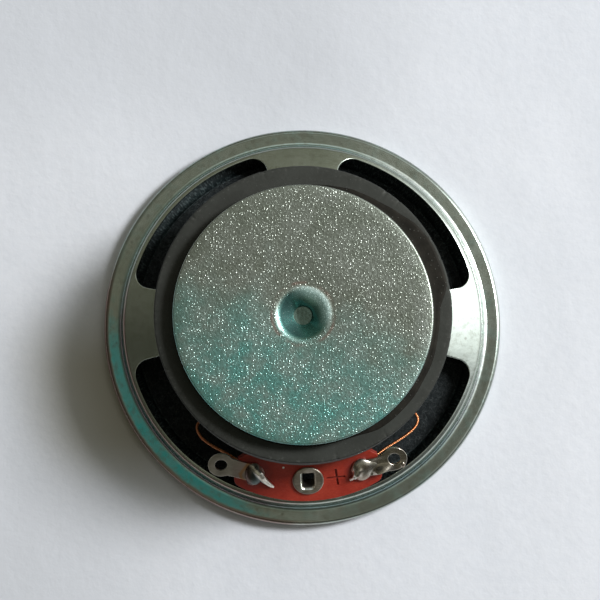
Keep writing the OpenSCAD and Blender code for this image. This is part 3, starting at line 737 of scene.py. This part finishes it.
def surround_finish():
    """Woven cloth soaked with a dark dope, with lint on it."""
    cloth = Finish("doped_cloth", IOR=1.33)
    weave = woven(cloth.turn() * 55.0, cloth.radius() * 7.0)
    cloud = cloth.noise(0.4)
    lint = cloth.polar(ROLL_MID_R).scaled(1.0, 0.35, 0.35).noise(5.2, 2.0)
    colour = painted(cloud.step(0.3, 0.7).mix((0.006, 0.011, 0.012), (0.014, 0.023, 0.024)),
                     (lint.step(0.50, 0.64) * 0.85, (0.075, 0.10, 0.10)))
    return cloth.feed((weave, 0.02), (lint, 0.10), Base_Color=colour, Roughness=0.45 + cloud * 0.2)


def spider_finish():
    """Yellow-brown cloth stiffened with resin."""
    cloth = Finish("spider_cloth", IOR=1.45)
    weave = woven(cloth.x * 2.6, cloth.y * 2.6)
    cloud = cloth.noise(0.3)
    colour = (weave * 0.6 + cloud * 0.4).mix((0.36, 0.24, 0.10), (0.66, 0.50, 0.27))
    return cloth.feed((weave, 0.08), Base_Color=colour, Roughness=0.6 + cloud * 0.2)


def fibre_finish():
    """Red vulcanised fibre, stained by flux round the lugs, with painted shade to the left. Positions are
    the board's own.
    """
    fibre = Finish("red_fibre", IOR=1.42, Coat_Roughness=0.3)
    cloud = fibre.noise(0.35, 4.0)
    grain = fibre.scaled(1.0, 2.6, 1.0).noise(2.6, 4.0, 0.65)
    mirrored = fibre.make("ShaderNodeCombineXYZ", X=fibre.x.maths("ABSOLUTE"), Y=fibre.y)
    stain = (mirrored.distance((LUG_SPACING, EYELET_V, 0)) + (cloud - 0.5) * 1.6).step(2.4, 1.5)
    speck = fibre.distance((-3.01, 6.0, BOARD_T)).step(0.17, 0.1)
    top_edge = fibre.z.step(BOARD_T - 0.12, BOARD_T - 0.04)
    colour = painted(
        (cloud * 0.55 + grain * 0.45).step(0.3, 0.7).mix((0.29, 0.021, 0.011), (0.43, 0.050, 0.026)),
        (stain * 0.5, (0.20, 0.02, 0.015)),
        # Painted shade: darker to the left, where the magnet's shadow falls
        (fibre.x.step(-1.0, -6.0) * 0.45, (0.20, 0.015, 0.010)),
        (speck, (0.75, 0.72, 0.68)))
    return fibre.feed((grain, 0.035), (cloud, 0.07), Base_Color=top_edge.mix((0.24, 0.03, 0.02), colour),
                      Roughness=0.36 + grain * 0.14, Coat_Weight=stain * 0.5)


def tin_finish(name, light, dark, rough, flux_at=None, pitting=0.006, punched=False):
    """Tinned brass, with the brown edge of the flux at flux_at, or, when punched, a painted highlight
    round the punched hole and painted shade on the lower left of the head's rim.
    """
    tin = Finish(name, Metallic=1.0)
    cloud = tin.noise(0.7)
    streak = tin.scaled(1.0, 5.0, 1.0).noise(1.2)
    pits = tin.cells(2.4).step(0.12, 0.04)
    worn = (cloud * 0.6 + streak * 0.4).step(0.35, 0.65)
    coats = [(pits * 0.4, (0.2, 0.17, 0.14))]
    if flux_at is not None:
        away = tin.distance(flux_at) + (cloud - 0.5) * 0.9
        coats += [(away.step(3.4, 1.9) * 0.5, (0.42, 0.30, 0.27)),
                  (away.near(1.62, 0.38) * 0.75, (0.50, 0.24, 0.08))]
    if punched:
        # Painted shade on the lower left of the head's rim
        painted_rim_shade = tin.radius().step(1.62, 1.85) * tin.along(-0.6, -0.8).step(-0.6, 0.9)
        # Painted highlights beside and below the hole
        beside = tin.x.near(-0.85, 0.2) * tin.y.step(-1.45, -1.2) * tin.y.step(1.25, 1.0)
        below = tin.y.near(-1.14, 0.2) * tin.x.step(-1.1, -0.85) * tin.x.step(0.8, 0.45)
        coats += [(painted_rim_shade * 0.8, (0.16, 0.13, 0.10)), (beside.maths("MAXIMUM", below), (0.93, 1.0, 0.90))]
    return tin.feed((cloud, 0.03), (tin.noise(6.0, 2.0, 0.5), pitting), Roughness=rough + cloud * 0.18,
                    Base_Color=painted(worn.mix(dark, light), *coats))


def solder_finish():
    """Solder, burnt in places. On the negative side the ridge where it was drawn out has a painted
    highlight, and painted shade lies below it.
    """
    solder = Finish("solder", Metallic=1.0)
    cloud, frost = solder.noise(0.9), solder.noise(5.0)
    burnt = solder.noise(0.55).step(0.46, 0.62)
    off_ridge = solder.along(-0.8, -0.6) - 1.31
    # Painted shade below the negative side's ridge
    painted_shade_below_ridge = off_ridge.step(0.25, 0.60) * solder.y.step(3.85, 4.2)
    # Painted highlight along the ridge where the solder was drawn out
    drawn = off_ridge.near(0.02, 0.34) * solder.x.step(-3.0, -4.0)
    colour = painted(
        cloud.step(0.35, 0.7).mix((0.50, 0.47, 0.40), (0.68, 0.66, 0.59)),
        (burnt * 0.65, (0.30, 0.22, 0.16)),
        (painted_shade_below_ridge * 0.95, solder.x.step(-7.4, -6.7).mix((0.085, 0.05, 0.042), (0.06, 0.082, 0.078))),
        (drawn * 0.85, (1.0, 0.96, 0.85)))
    return solder.feed((cloud, 0.05), (frost, 0.008), Base_Color=colour,
                       Roughness=0.17 + cloud * 0.16 + frost * 0.08)


def copper_finish(name, light, dark, rough):
    """Copper, with painted shade that makes it redder and darker to the left."""
    copper = Finish(name, Metallic=1.0)
    cloud = copper.noise(1.8)
    colour = painted(cloud.step(0.3, 0.7).mix(dark, light),
                     (copper.x.step(-5, -10) * 0.5, (0.30, 0.09, 0.05)))
    return copper.feed((copper.noise(9.0, 2.0, 0.5), 0.01), Base_Color=colour,
                       Roughness=rough + cloud * 0.15)


def dark_glue_finish():
    glue = Finish("rubber_glue", IOR=1.5)
    cloud = glue.noise(1.0)
    return glue.feed((cloud, 0.08), Base_Color=cloud.mix((0.010, 0.010, 0.011), (0.030, 0.030, 0.032)),
                     Roughness=0.30 + cloud * 0.2)


def board_paper_finish(name, light, dark, depth):
    """Pressed paper whose fibres run round the axis."""
    pulp = Finish(name, IOR=1.45)
    fibres, cloud = pulp.polar(20.0).noise(1.5, 4.0, 0.7, 1.0), pulp.noise(0.6)
    colour = (fibres * 0.6 + cloud * 0.4).step(0.3, 0.7).mix(dark, light)
    return pulp.feed((fibres, depth), Base_Color=colour, Roughness=0.7 + cloud * 0.2)


zinc, iron, ferrite, adhesive = zinc_finish(), plated_iron_finish(), ferrite_finish(), adhesive_finish()
pulp, cloth, spider_cloth, fibre = paper_finish(), surround_finish(), spider_finish(), fibre_finish()
dull_tin = tin_finish("dull_tin", (0.50, 0.46, 0.39), (0.36, 0.33, 0.28), 0.34,
                      flux_at=on_board((-LUG_SPACING, EYELET_V, BOARD_T)))
wetted_tin = tin_finish("wetted_tin", (0.64, 0.59, 0.51), (0.44, 0.39, 0.33), 0.14)
rivet_tin = tin_finish("rivet_tin", (0.66, 0.60, 0.51), (0.42, 0.36, 0.29), 0.28,
                       pitting=0.02, punched=True)
solder, dark_glue = solder_finish(), dark_glue_finish()
tinsel = copper_finish("copper_tinsel", (0.90, 0.42, 0.20), (0.62, 0.24, 0.10), 0.22)
enamel = copper_finish("enamelled_copper", (0.62, 0.22, 0.08), (0.42, 0.13, 0.05), 0.30)
gasket_board = board_paper_finish("gasket_board", (0.15, 0.14, 0.125), (0.07, 0.065, 0.06), 0.06)
kraft = board_paper_finish("kraft_paper", (0.55, 0.38, 0.22), (0.40, 0.26, 0.14), 0.03)


# The frame, pressed from one sheet
def rear_of_frame(r):
    """Height of the frame's rear face over the wall and the ledge."""
    rise = SHEET / 2 / math.cos(WALL_ANGLE)
    return np.minimum(SHOULDER_Z + rise + (SHOULDER_R - r) * math.tan(WALL_ANGLE), LEDGE_Z + SHEET / 2)


def window_outline():
    middle_r = WINDOW_OUT_R - WINDOW_CORNER_R
    corner = WINDOW_HALF - math.asin(WINDOW_CORNER_R / middle_r)
    outer = arc(0, 0, WINDOW_OUT_R, np.linspace(-corner, corner, 60))
    end = arc(middle_r * math.cos(corner), middle_r * math.sin(corner), WINDOW_CORNER_R,
              np.linspace(corner, WINDOW_HALF + math.pi / 2, 20)[1:])
    inner = arc(0, 0, WINDOW_IN_R, np.linspace(WINDOW_HALF, -WINDOW_HALF, 60))
    return np.vstack([outer, end, inner, end[::-1] * (1, -1)])


def window_cutter(turn):
    """The punch: its flank opens out at the top, so that the sheet is drawn in round the window."""
    spin = np.array([[math.cos(turn), math.sin(turn)], [-math.sin(turn), math.cos(turn)]])
    loop, draw, rings = window_outline(), 0.16, []
    for a in np.linspace(0, math.pi / 2, 6):
        ring = grown(loop, draw * (1 - math.sin(a)))
        rings.append(level(ring @ spin, rear_of_frame(np.hypot(*ring.T)) - draw * (1 - math.cos(a))))
    above, below = level(rings[0][:, :2], LEDGE_Z + 1.2), level(rings[-1][:, :2], 1.0)
    return piece_from("window cutter", *through([above, *rings, below]))


def hole_cutter(path, r):
    return piece_from("hole cutter", *tube(path, r, 32))


def pressed_frame():
    path = [(RIM_R - SHEET / 2, 0.3), (RIM_R - SHEET / 2, FLANGE_Z), (FOOT_R, FLANGE_Z),
            (NECK_OF_WALL_R, SHOULDER_Z + (SHOULDER_R - NECK_OF_WALL_R) * math.tan(WALL_ANGLE)),
            (LEDGE_R, LEDGE_Z), (RISER_R, LEDGE_Z), (RISER_R - 0.4, FLOOR_Z), (FLOOR_HOLE_R, FLOOR_Z)]
    # The radius of each bend on the two faces, and of the sheet's edges
    rear, front, edge = [0.5, 0.7, 0.6, 0.28, 0.10, 0.28], [0.10, 0.28, 0.10, 0.10, 0.28, 0.10], 0.12
    loop = rounded_loop(sheet(path, SHEET), [edge, *front, edge, edge, *rear[::-1], edge], 9)
    loop = np.array(spaced(loop, 0.45))
    on_rear = loop[:, 1] > rear_of_frame(loop[:, 0]) - SHEET / 2

    def pad(grid, turn):
        """Lifts the sheet into a flat pad under the terminal board."""
        flat = off_board(grid.reshape(-1, 3))
        u, v, w = flat.T
        held = (1 - smoothstep(np.abs(u), 3.5, 4.5)) * smoothstep(v, 0.9, 1.6)
        held *= (1 - smoothstep(v, 5.2, 5.9)) * (np.abs(w) < 2.5)
        below = np.where(np.tile(on_rear, len(turn)), 0, SHEET) + 0.015
        flat[:, 2] -= (w + below) * held
        return on_board(flat).reshape(grid.shape)

    piece = revolve("pressed_frame", loop, zinc, 360, shape=pad)
    quarters = [math.radians(45 + 90 * i) for i in range(4)]
    cutters = [window_cutter(turn) for turn in quarters]
    cutters += [hole_cutter(level(arc(0, 0, STAKE_RING_R, [turn] * 2), [7.8, 9.8]), STAKE_R)
                for turn in quarters]
    cutters.append(hole_cutter(on_board([(0, RIVET_V, -2), (0, RIVET_V, 2)]), RIVET_HOLE_R))
    carve(piece, cutters)
    keep(piece, "basket")


pressed_frame()


# The motor
def ring_magnet():
    bevel, chip_reach = 0.14, 0.55
    section = rounded_loop(
        [(MAGNET_BORE_R, MAGNET_FRONT_Z), (MAGNET_R - bevel, MAGNET_FRONT_Z),
         (MAGNET_R, MAGNET_FRONT_Z + bevel), (MAGNET_R, MAGNET_REAR_Z - bevel),
         (MAGNET_R - bevel, MAGNET_REAR_Z), (MAGNET_BORE_R, MAGNET_REAR_Z)],
        [0.15, 0.05, 0.05, 0.05, 0.05, 0.15], 3)
    luck = np.random.default_rng(11)
    chips = [(luck.uniform(0, TAU), luck.uniform(0.006, 0.016), luck.uniform(0.04, 0.2) ** 1.3,
              luck.choice([MAGNET_REAR_Z, MAGNET_FRONT_Z])) for _ in range(54)]

    def chipped(grid, turn):
        r = np.hypot(grid[..., 0], grid[..., 1])
        for where, width, depth, edge_z in chips:
            aside = np.abs((turn - where + math.pi) % TAU - math.pi) / width
            away = np.hypot(r - MAGNET_R, grid[..., 2] - edge_z) / chip_reach
            bite = np.clip(1 - aside, 0, 1)[:, None] * depth * np.clip(1 - away, 0, 1)
            grid[..., 2] += bite * (-1 if edge_z == MAGNET_REAR_Z else 1)
            grid[..., :2] *= (1 - bite / np.maximum(r, 1))[..., None]
        grid[..., 1] += MAGNET_SHIFT
        return grid

    piece = revolve("ring_magnet", spaced(section, 0.6), ferrite, 900, 25, chipped)
    keep(piece, "magnet_ring")


def headed_yoke():
    """Back plate and pole, with the dimple that the heading tool left."""
    tilt, mouth, bottom_z = math.radians(46), 1.2, BACK_Z - DIMPLE_DEPTH
    roll = arc(DIMPLE_R, BACK_Z - mouth, mouth, np.linspace(math.pi / 2, math.pi / 2 + tilt, 10))
    outline = rounded_loop(
        [(PLATE_R, BACK_FRONT_Z), (PLATE_R, BACK_Z), (PLATE_R - 1.5, BACK_Z)], [0.08, 0.22, 0], 6)
    section = [(0, FLOOR_Z + 0.3), (POLE_R - 0.2, FLOOR_Z + 0.3), (POLE_R, FLOOR_Z + 0.5),
               (POLE_R, BACK_FRONT_Z), *outline, (9.0, BACK_Z), *roll, (DIMPLE_FLOOR_R, bottom_z),
               (0, bottom_z)]
    keep(revolve("headed_yoke", section, iron, sharp=28), "yoke")


def squeezed_adhesive():
    """Adhesive under the back plate and squeezed out round it, most of all to the upper right."""
    start, reach, inner_r, rear_z = PLATE_R + 0.01, MAGNET_R - 0.28, 10.0, BACK_FRONT_Z - 0.008
    section = [(inner_r, MAGNET_REAR_Z), *[(start, MAGNET_REAR_Z)] * 6, (PLATE_R - 0.03, rear_z),
               (inner_r, rear_z)]
    shares = np.array([0, 1.0, 0.97, 0.86, 0.5, 0.15, 0, 0, 0])
    lifts = np.array([0, 0, 0.045, 0.08, 0.09, 0.11, 0.18, 0, 0])

    def squeezed(grid, turn):
        luck = np.random.default_rng(5)
        ripple = sum(luck.uniform(0.3, 1) * np.sin(k * turn + luck.uniform(0, TAU)) / k ** 0.7
                     for k in range(3, 40))
        degrees = (np.degrees(turn) + 180) % 360 - 180
        width = 0.09 + 0.75 * smoothstep(degrees, -72, -50) * (1 - smoothstep(degrees, 60, 96))
        width += 1.35 * smoothstep(degrees, 2, 15) * (1 - smoothstep(degrees, 32, 58))
        width *= 1 + 0.09 * ripple / np.abs(ripple).max()
        width = np.maximum(width + 0.02 * ripple, 0.05)
        off_axis = MAGNET_SHIFT * np.sin(turn), MAGNET_SHIFT * np.cos(turn)
        width = np.minimum(width, off_axis[0] + np.sqrt(reach ** 2 - off_axis[1] ** 2) - start)
        grid[..., 0] += np.outer(width * np.cos(turn), shares)
        grid[..., 1] += np.outer(width * np.sin(turn), shares)
        grid[..., 2] += np.outer(np.clip(0.4 + width, 0, 1), lifts)
        return grid

    piece = revolve("squeezed_adhesive", section, adhesive, 720, 60, squeezed)
    keep(piece, "rear_film")


ring_magnet()
headed_yoke()
squeezed_adhesive()
dress(iron, "top_plate")
dress(adhesive, "front_film")


# The cone and what carries it
def cone_height(r):
    return EDGE_Z + CONE_DEPTH * (np.maximum(0, FLARE_R - r) / (FLARE_R - NECK_R)) ** 1.25


def across_suspension(piece, node):
    """Brings a ring that runs from the cone to the frame from millimetres to metres, and hides the CAD
    node that it replaces.
    """
    to_metres(piece)
    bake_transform(piece)
    stand_for(node)


def paper_cone():
    r, edge = np.linspace(FLARE_R, NECK_R, 44), 0.06
    path = [(CONE_EDGE_R, EDGE_Z), (MOVING_LAND_R, EDGE_Z), *zip(r, cone_height(r)),
            (NECK_R, EDGE_Z + CONE_DEPTH + 0.5)]
    bends = [0] * (len(path) - 2)
    loop = rounded_loop(sheet(path, CONE_T), [edge, *bends, edge, edge, *bends, edge], 3)

    def uneven(grid, turn):
        wave = 0.025 * np.sin(5 * turn + 0.7) + 0.018 * np.sin(9 * turn + 2.0)
        grid[..., 2] += wave[:, None] * smoothstep(np.hypot(grid[..., 0], grid[..., 1]), 9, 17)
        return grid

    piece = revolve("paper_cone", loop, pulp, shape=uneven)
    keep(piece, "cone", body="cone_assembly")


def roll_surround():
    roll = arc(ROLL_MID_R, SURROUND_Z, ROLL_R, np.linspace(math.pi, TAU, 25))
    path = [(FLARE_R, SURROUND_Z), (MOVING_LAND_R, SURROUND_Z), *roll,
            (FIXED_LAND_R, SURROUND_Z), (GASKET_OUT_R, SURROUND_Z)]
    piece = revolve("roll_surround", sheet(path, SURROUND_T), cloth, sharp=60)
    across_suspension(piece, "surround")


def corrugated_spider():
    r = np.linspace(WAVES_IN_R, WAVES_OUT_R, 90)
    wave = WAVE_HEIGHT * np.sin(TAU * WAVE_COUNT * (r - WAVES_IN_R) / (WAVES_OUT_R - WAVES_IN_R))
    path = [(SPIDER_IN_R, SPIDER_Z), (7.0, SPIDER_Z), *zip(r, SPIDER_Z - wave), (15.2, SPIDER_Z),
            (SPIDER_OUT_R, SPIDER_Z)]
    piece = revolve("corrugated_spider", sheet(path, SPIDER_T), spider_cloth, 240, 60)
    across_suspension(piece, "spider")


def domed_cap():
    cap_r, cap_h, cap_t, gap, skirt = 7.7, 1.9, 0.2, 0.05, 0.6

    def seat(r):
        return cone_height(r) - CONE_T / 2 - cap_t / 2

    dome_r = (cap_r ** 2 + cap_h ** 2) / (2 * cap_h)
    dome = arc(0, seat(cap_r) - cap_h + dome_r, dome_r,
               np.linspace(0, math.asin(cap_r / dome_r), 24) - math.pi / 2)
    loop = sheet([*dome, (cap_r + skirt, seat(cap_r + skirt) - gap)], cap_t)
    loop[[0, -1], 0] = 0
    loop[:, 1] -= gap
    piece = revolve("domed_cap", loop, pulp, 160, 60)
    keep(piece, "dust_cap", body="cone_assembly")


def rim_gasket():
    section = [(GASKET_IN_R, 0), (GASKET_OUT_R, 0), (GASKET_OUT_R, GASKET_T), (GASKET_IN_R, GASKET_T)]
    piece = revolve("rim_gasket", rounded_loop(section, [0.12] * 4, 3), gasket_board)
    keep(piece, "gasket")


paper_cone()
roll_surround()
corrugated_spider()
domed_cap()
rim_gasket()
dress(kraft, "coil_former")
dress(enamel, "voice_coil", "coil_tails")
dress(dark_glue, "neck_glue", "cap_glue", "lead_anchors")


# Terminals
def board_outline():
    def low(u):
        return BOARD_LOW + BOARD_ARC_R - np.sqrt(BOARD_ARC_R ** 2 - u * u)

    arc_end = BOARD_HALF - 1.6
    top, side = (BOARD_HALF - 1.6, BOARD_TOP), (BOARD_HALF - 0.65, BOARD_TOP - 0.65)
    corner = corner_arc(side, (BOARD_HALF + 0.1, low(BOARD_HALF) + 0.1), (arc_end, low(arc_end)), 1.2, 8)
    half, u = np.array([top, side, *corner]), np.linspace(arc_end, -arc_end, 40)
    return np.vstack([half, np.column_stack([u, low(u)]), half[::-1] * (-1, 1)])[::-1]


def fibre_board():
    holes = [circle(0, RIVET_V, 1.38)] + [circle(s * LUG_SPACING, EYELET_V, 0.75) for s in (-1, 1)]
    piece = stamped("fibre_board", [board_outline(), *holes], BOARD_T, 0.07, fibre)
    cutters = []
    for a, b in (((3.39, 5.54), (3.65, 3.26)), ((2.28, 4.23), (4.61, 4.42))):
        a, b = np.array(a), np.array(b)
        side = unit(b - a) @ [[0, 1], [-1, 0]]
        rings = [level([a - side * width, b - side * width, b + side * width, a + side * width],
                       BOARD_T + lift) for lift, width in ((0.2, 0.24), (0.0, 0.17), (-0.22, 0.08))]
        cutters.append(piece_from("polarity mark cutter", *through(rings)))
    carve(piece, cutters, 35)
    keep(piece, "terminal_board", BOARD)


def tubular_rivet():
    head = arc(0, 0, 1, np.linspace(-0.4, math.pi / 2, 9)) * (0.22, 0.2) + (RIVET_HEAD_R - 0.22, 0.93)
    section = [(0, -1.0), *corner_arc((0, -1.0), (1.5, -1.0), (1.5, -0.65), 0.1, 3), (1.5, -0.66),
               (1.35, -0.64), (1.35, 0.79), (RIVET_HEAD_R - 0.06, 0.81), *head,
               (1.55, 1.12), (1.3, 1.085), (1.0, 1.07), (0, 1.07)]
    piece = revolve("tubular_rivet", section, rivet_tin, 96, 50)
    rings = []
    for lift, grow in ((1.4, 0.25), (1.085, 0.25), (1.05, 0.19), (0.88, 0.04), (0.7, 0), (-1.5, 0)):
        half_w, half_l = 0.72 + grow, 1.0 + grow
        loop = [(-half_w, -half_l), (half_w, -half_l), (half_w, half_l), (-half_w, half_l)]
        rings.append(level(rounded_loop(loop, [0.32 + grow] * 2 + [0.16 + grow] * 2, 5), lift))
    carve(piece, [piece_from("punch", *through(rings))], 40)
    keep(piece, "board_rivet", BOARD @ shift(0, RIVET_V, 0))


def lug_outline(neck):
    """Half the width of the neck is given, because the two lugs differ in it."""
    top = [(-0.95, 0.75), (-0.55, 1.08), (0.0, 1.18), (0.8, 1.18), (1.5, (neck + 1.18) / 2),
           (2.0, neck), (2.45, neck - 0.02), (2.8, neck + 0.03), (3.08, (neck + 1.24) / 2)]
    ring = arc(LUG_L, 0, LUG_RING_R, np.linspace(math.radians(126), 0, 26))[:-1]
    upper = np.array([(-1.22, 0.0), (-1.18, 0.4), *top, *ring])
    return np.vstack([upper, (LUG_L + LUG_RING_R, 0.0), upper[:0:-1] * (1, -1)])[::-1]


def solder_lug(name, side, node, neck, finish, shape):
    """A lug, made at its eyelet with x towards its wire eye, and then set on the board."""
    loops = [lug_outline(neck), circle(LUG_L, 0, WIRE_EYE_R, 36), circle(0, 0, EYELET_HOLE_R, 28)]
    piece = stamped(name, loops, LUG_T, 0.07, finish, grid=0.2, shape=shape)
    to_metres(piece)
    piece.data.transform(BOARD @ shift(side * LUG_SPACING, EYELET_V, BOARD_T)
                         @ Matrix.Diagonal((side, 1, 1, 1)) @ Matrix.Rotation(LUG_ANGLES[side], 4, "Z"))
    if side < 0:
        piece.data.flip_normals()
    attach(piece, "frame")
    stand_for(node)


def straight_lug(points):
    points[:, 2] += 0.05 * smoothstep(points[:, 0], 2.2, 5.5)
    return points


def bent_lug(points):
    """The neck is bent into a channel: its lower edge stands up, and so does the ring's lower corner."""
    x, y = points[:, 0], points[:, 1]
    along = smoothstep(x, 0.9, 2.0) * (1 - smoothstep(x, 2.3, 4.2))
    corner = np.exp(-((x - 5.15) ** 2 + (y + 1.05) ** 2) / 0.22)
    points[:, 2] += along * (0.78 * smoothstep(-y, -0.2, 1.05) ** 1.2 + 0.10 * smoothstep(y, 0.5, 1.1))
    points[:, 2] += 0.07 * smoothstep(x, 2.4, 4.2) + 0.16 * corner
    return points


def solder_mound(name, side, node, drops, peaks):
    """Solder over an eyelet and through it, in the board's own coordinates."""
    piece = melted(name, drops, peaks, BOARD_T + 0.02, solder)
    fillet = [(side * LUG_SPACING, EYELET_V, w) for w in (-0.5, -0.42, -0.2, 1.0)]
    under = piece_from("fillet", *tube(fillet, [0.34, 0.62, 0.44, 0.44], 20), sharp=60)
    both = bmesh.new()
    both.from_mesh(piece.data)
    both.from_mesh(under.data)
    both.to_mesh(piece.data)
    both.free()
    bpy.data.objects.remove(under)
    keep(piece, node, BOARD)


fibre_board()
tubular_rivet()
solder_lug("positive_lug", 1, "lug_positive", 1.04, wetted_tin, bent_lug)
solder_lug("negative_lug", -1, "lug_negative", 1.18, dull_tin, straight_lug)
solder_mound("positive_solder", 1, "solder_positive",
             [((6.64, 5.48, 1.02), (1.24, 1.56, 0.56)), ((7.8, 5.92, 0.98), (1.1, 0.82, 0.30)),
              ((11.72, 6.12, 1.26), (0.30, 0.40, 0.24))],
             [([(6.25, 5.5, 1.32), (6.02, 5.06, 1.46), (5.78, 4.68, 1.45), (5.52, 4.38, 1.27),
                (5.36, 4.2, 1.10)], [0.46, 0.44, 0.28, 0.15, 0.10]),
              ([(5.36, 4.22, 1.08), (5.28, 4.1, 0.95)], [0.10, 0.20])])
solder_mound("negative_solder", -1, "solder_negative",
             [((-6.68, 5.44, 1.08), (1.10, 1.52, 0.66)), ((-6.85, 4.12, 0.94), (0.66, 0.36, 0.12))],
             [([(-6.3, 6.1, 1.5), (-5.95, 5.75, 1.64), (-5.66, 5.2, 1.58), (-5.38, 4.66, 1.42),
                (-4.98, 4.16, 1.28), (-4.6, 3.74, 1.16), (-4.36, 3.52, 1.10)],
               [0.42, 0.46, 0.46, 0.42, 0.34, 0.26, 0.17])])
dress(rivet_tin, "lug_eyelets")


# Tinsel leads, on the same routes as in the part's source: the angle of the start on the cone, and
# points in the board's own coordinates from the eyelet
ROUTES = {
    1: (math.radians(-35), [
        (6.4, 4.85, -6.05), (7.05, 4.2, -5.3), (7.35, 3.65, -4.6), (6.9, 3, -3.85), (5.75, 2.3, -3.15),
        (4.2, 1.6, -2.5), (3, 1.05, -2.1), (2, 0.5, -1.7), (1.15, 0.15, -1.4), (0.4, 0, -1.2),
        (0, 0, -0.9), (0, 0, -0.5)]),
    -1: (math.radians(-137), [
        (5.85, 4.55, -5.9), (6.65, 4.05, -5.2), (6.95, 3.75, -4.65), (6.8, 3.2, -3.95),
        (6.15, 2.55, -3.3), (5, 1.85, -2.8), (3.9, 1.4, -2.35), (2.7, 0.8, -1.9), (1.65, 0.25, -1.5),
        (0.65, 0.05, -1.25), (0.1, 0, -0.95), (0, 0, -0.5)]),
}


def lead_route(side):
    """A smooth curve from the glue dot on the cone to the eyelet."""
    turn, route = ROUTES[side]
    out, lift = np.array([1.15, 1.85, 3]), np.array([0.4, 0.75, 1.15])
    start = level(arc(0, 0, ANCHOR_R + out, turn), cone_height(ANCHOR_R) + lift)
    end = on_board([(side * (LUG_SPACING + u), EYELET_V + v, w) for u, v, w in route])
    points = np.vstack([start, end])
    padded = np.vstack([2 * points[0] - points[1], points, 2 * points[-1] - points[-2]])
    t = np.arange(0, 1, 1 / 16)[:, None]
    spans = [0.5 * (2 * b + (c - a) * t + (2 * a - 5 * b + 4 * c - d) * t ** 2
                    + (3 * b - a - 3 * c + d) * t ** 3)
             for a, b, c, d in zip(padded, padded[1:], padded[2:], padded[3:])]
    return np.vstack([*spans, points[-1]])


def tinsel_lead(name, side, node):
    """Foil-wrapped threads twisted into one soft lead."""
    route = lead_route(side)
    length = np.concatenate([[0], np.cumsum(np.linalg.norm(np.diff(route, axis=0), axis=1))])
    even = np.linspace(0, length[-1], int(length[-1] / 0.05))
    route = np.column_stack([np.interp(even, length, route[:, k]) for k in range(3)])
    u, v = across(route)
    points, faces = [], []
    for strand in range(3):
        phase = TAU * (even / STRAND_PITCH + strand / 3)[:, None]
        made, joined = tube(route + STRAND_WINDING_R * (np.cos(phase) * u + np.sin(phase) * v), STRAND_R)
        faces += [tuple(strand * len(made) + i for i in face) for face in joined]
        points.append(made)
    piece = piece_from(name, np.vstack(points) * MM, faces, tinsel, 60)
    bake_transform(piece)
    stand_for(node)


tinsel_lead("positive_lead", 1, "lead_positive")
tinsel_lead("negative_lead", -1, "lead_negative")

bpy.context.scene.view_settings.view_transform = "Standard"
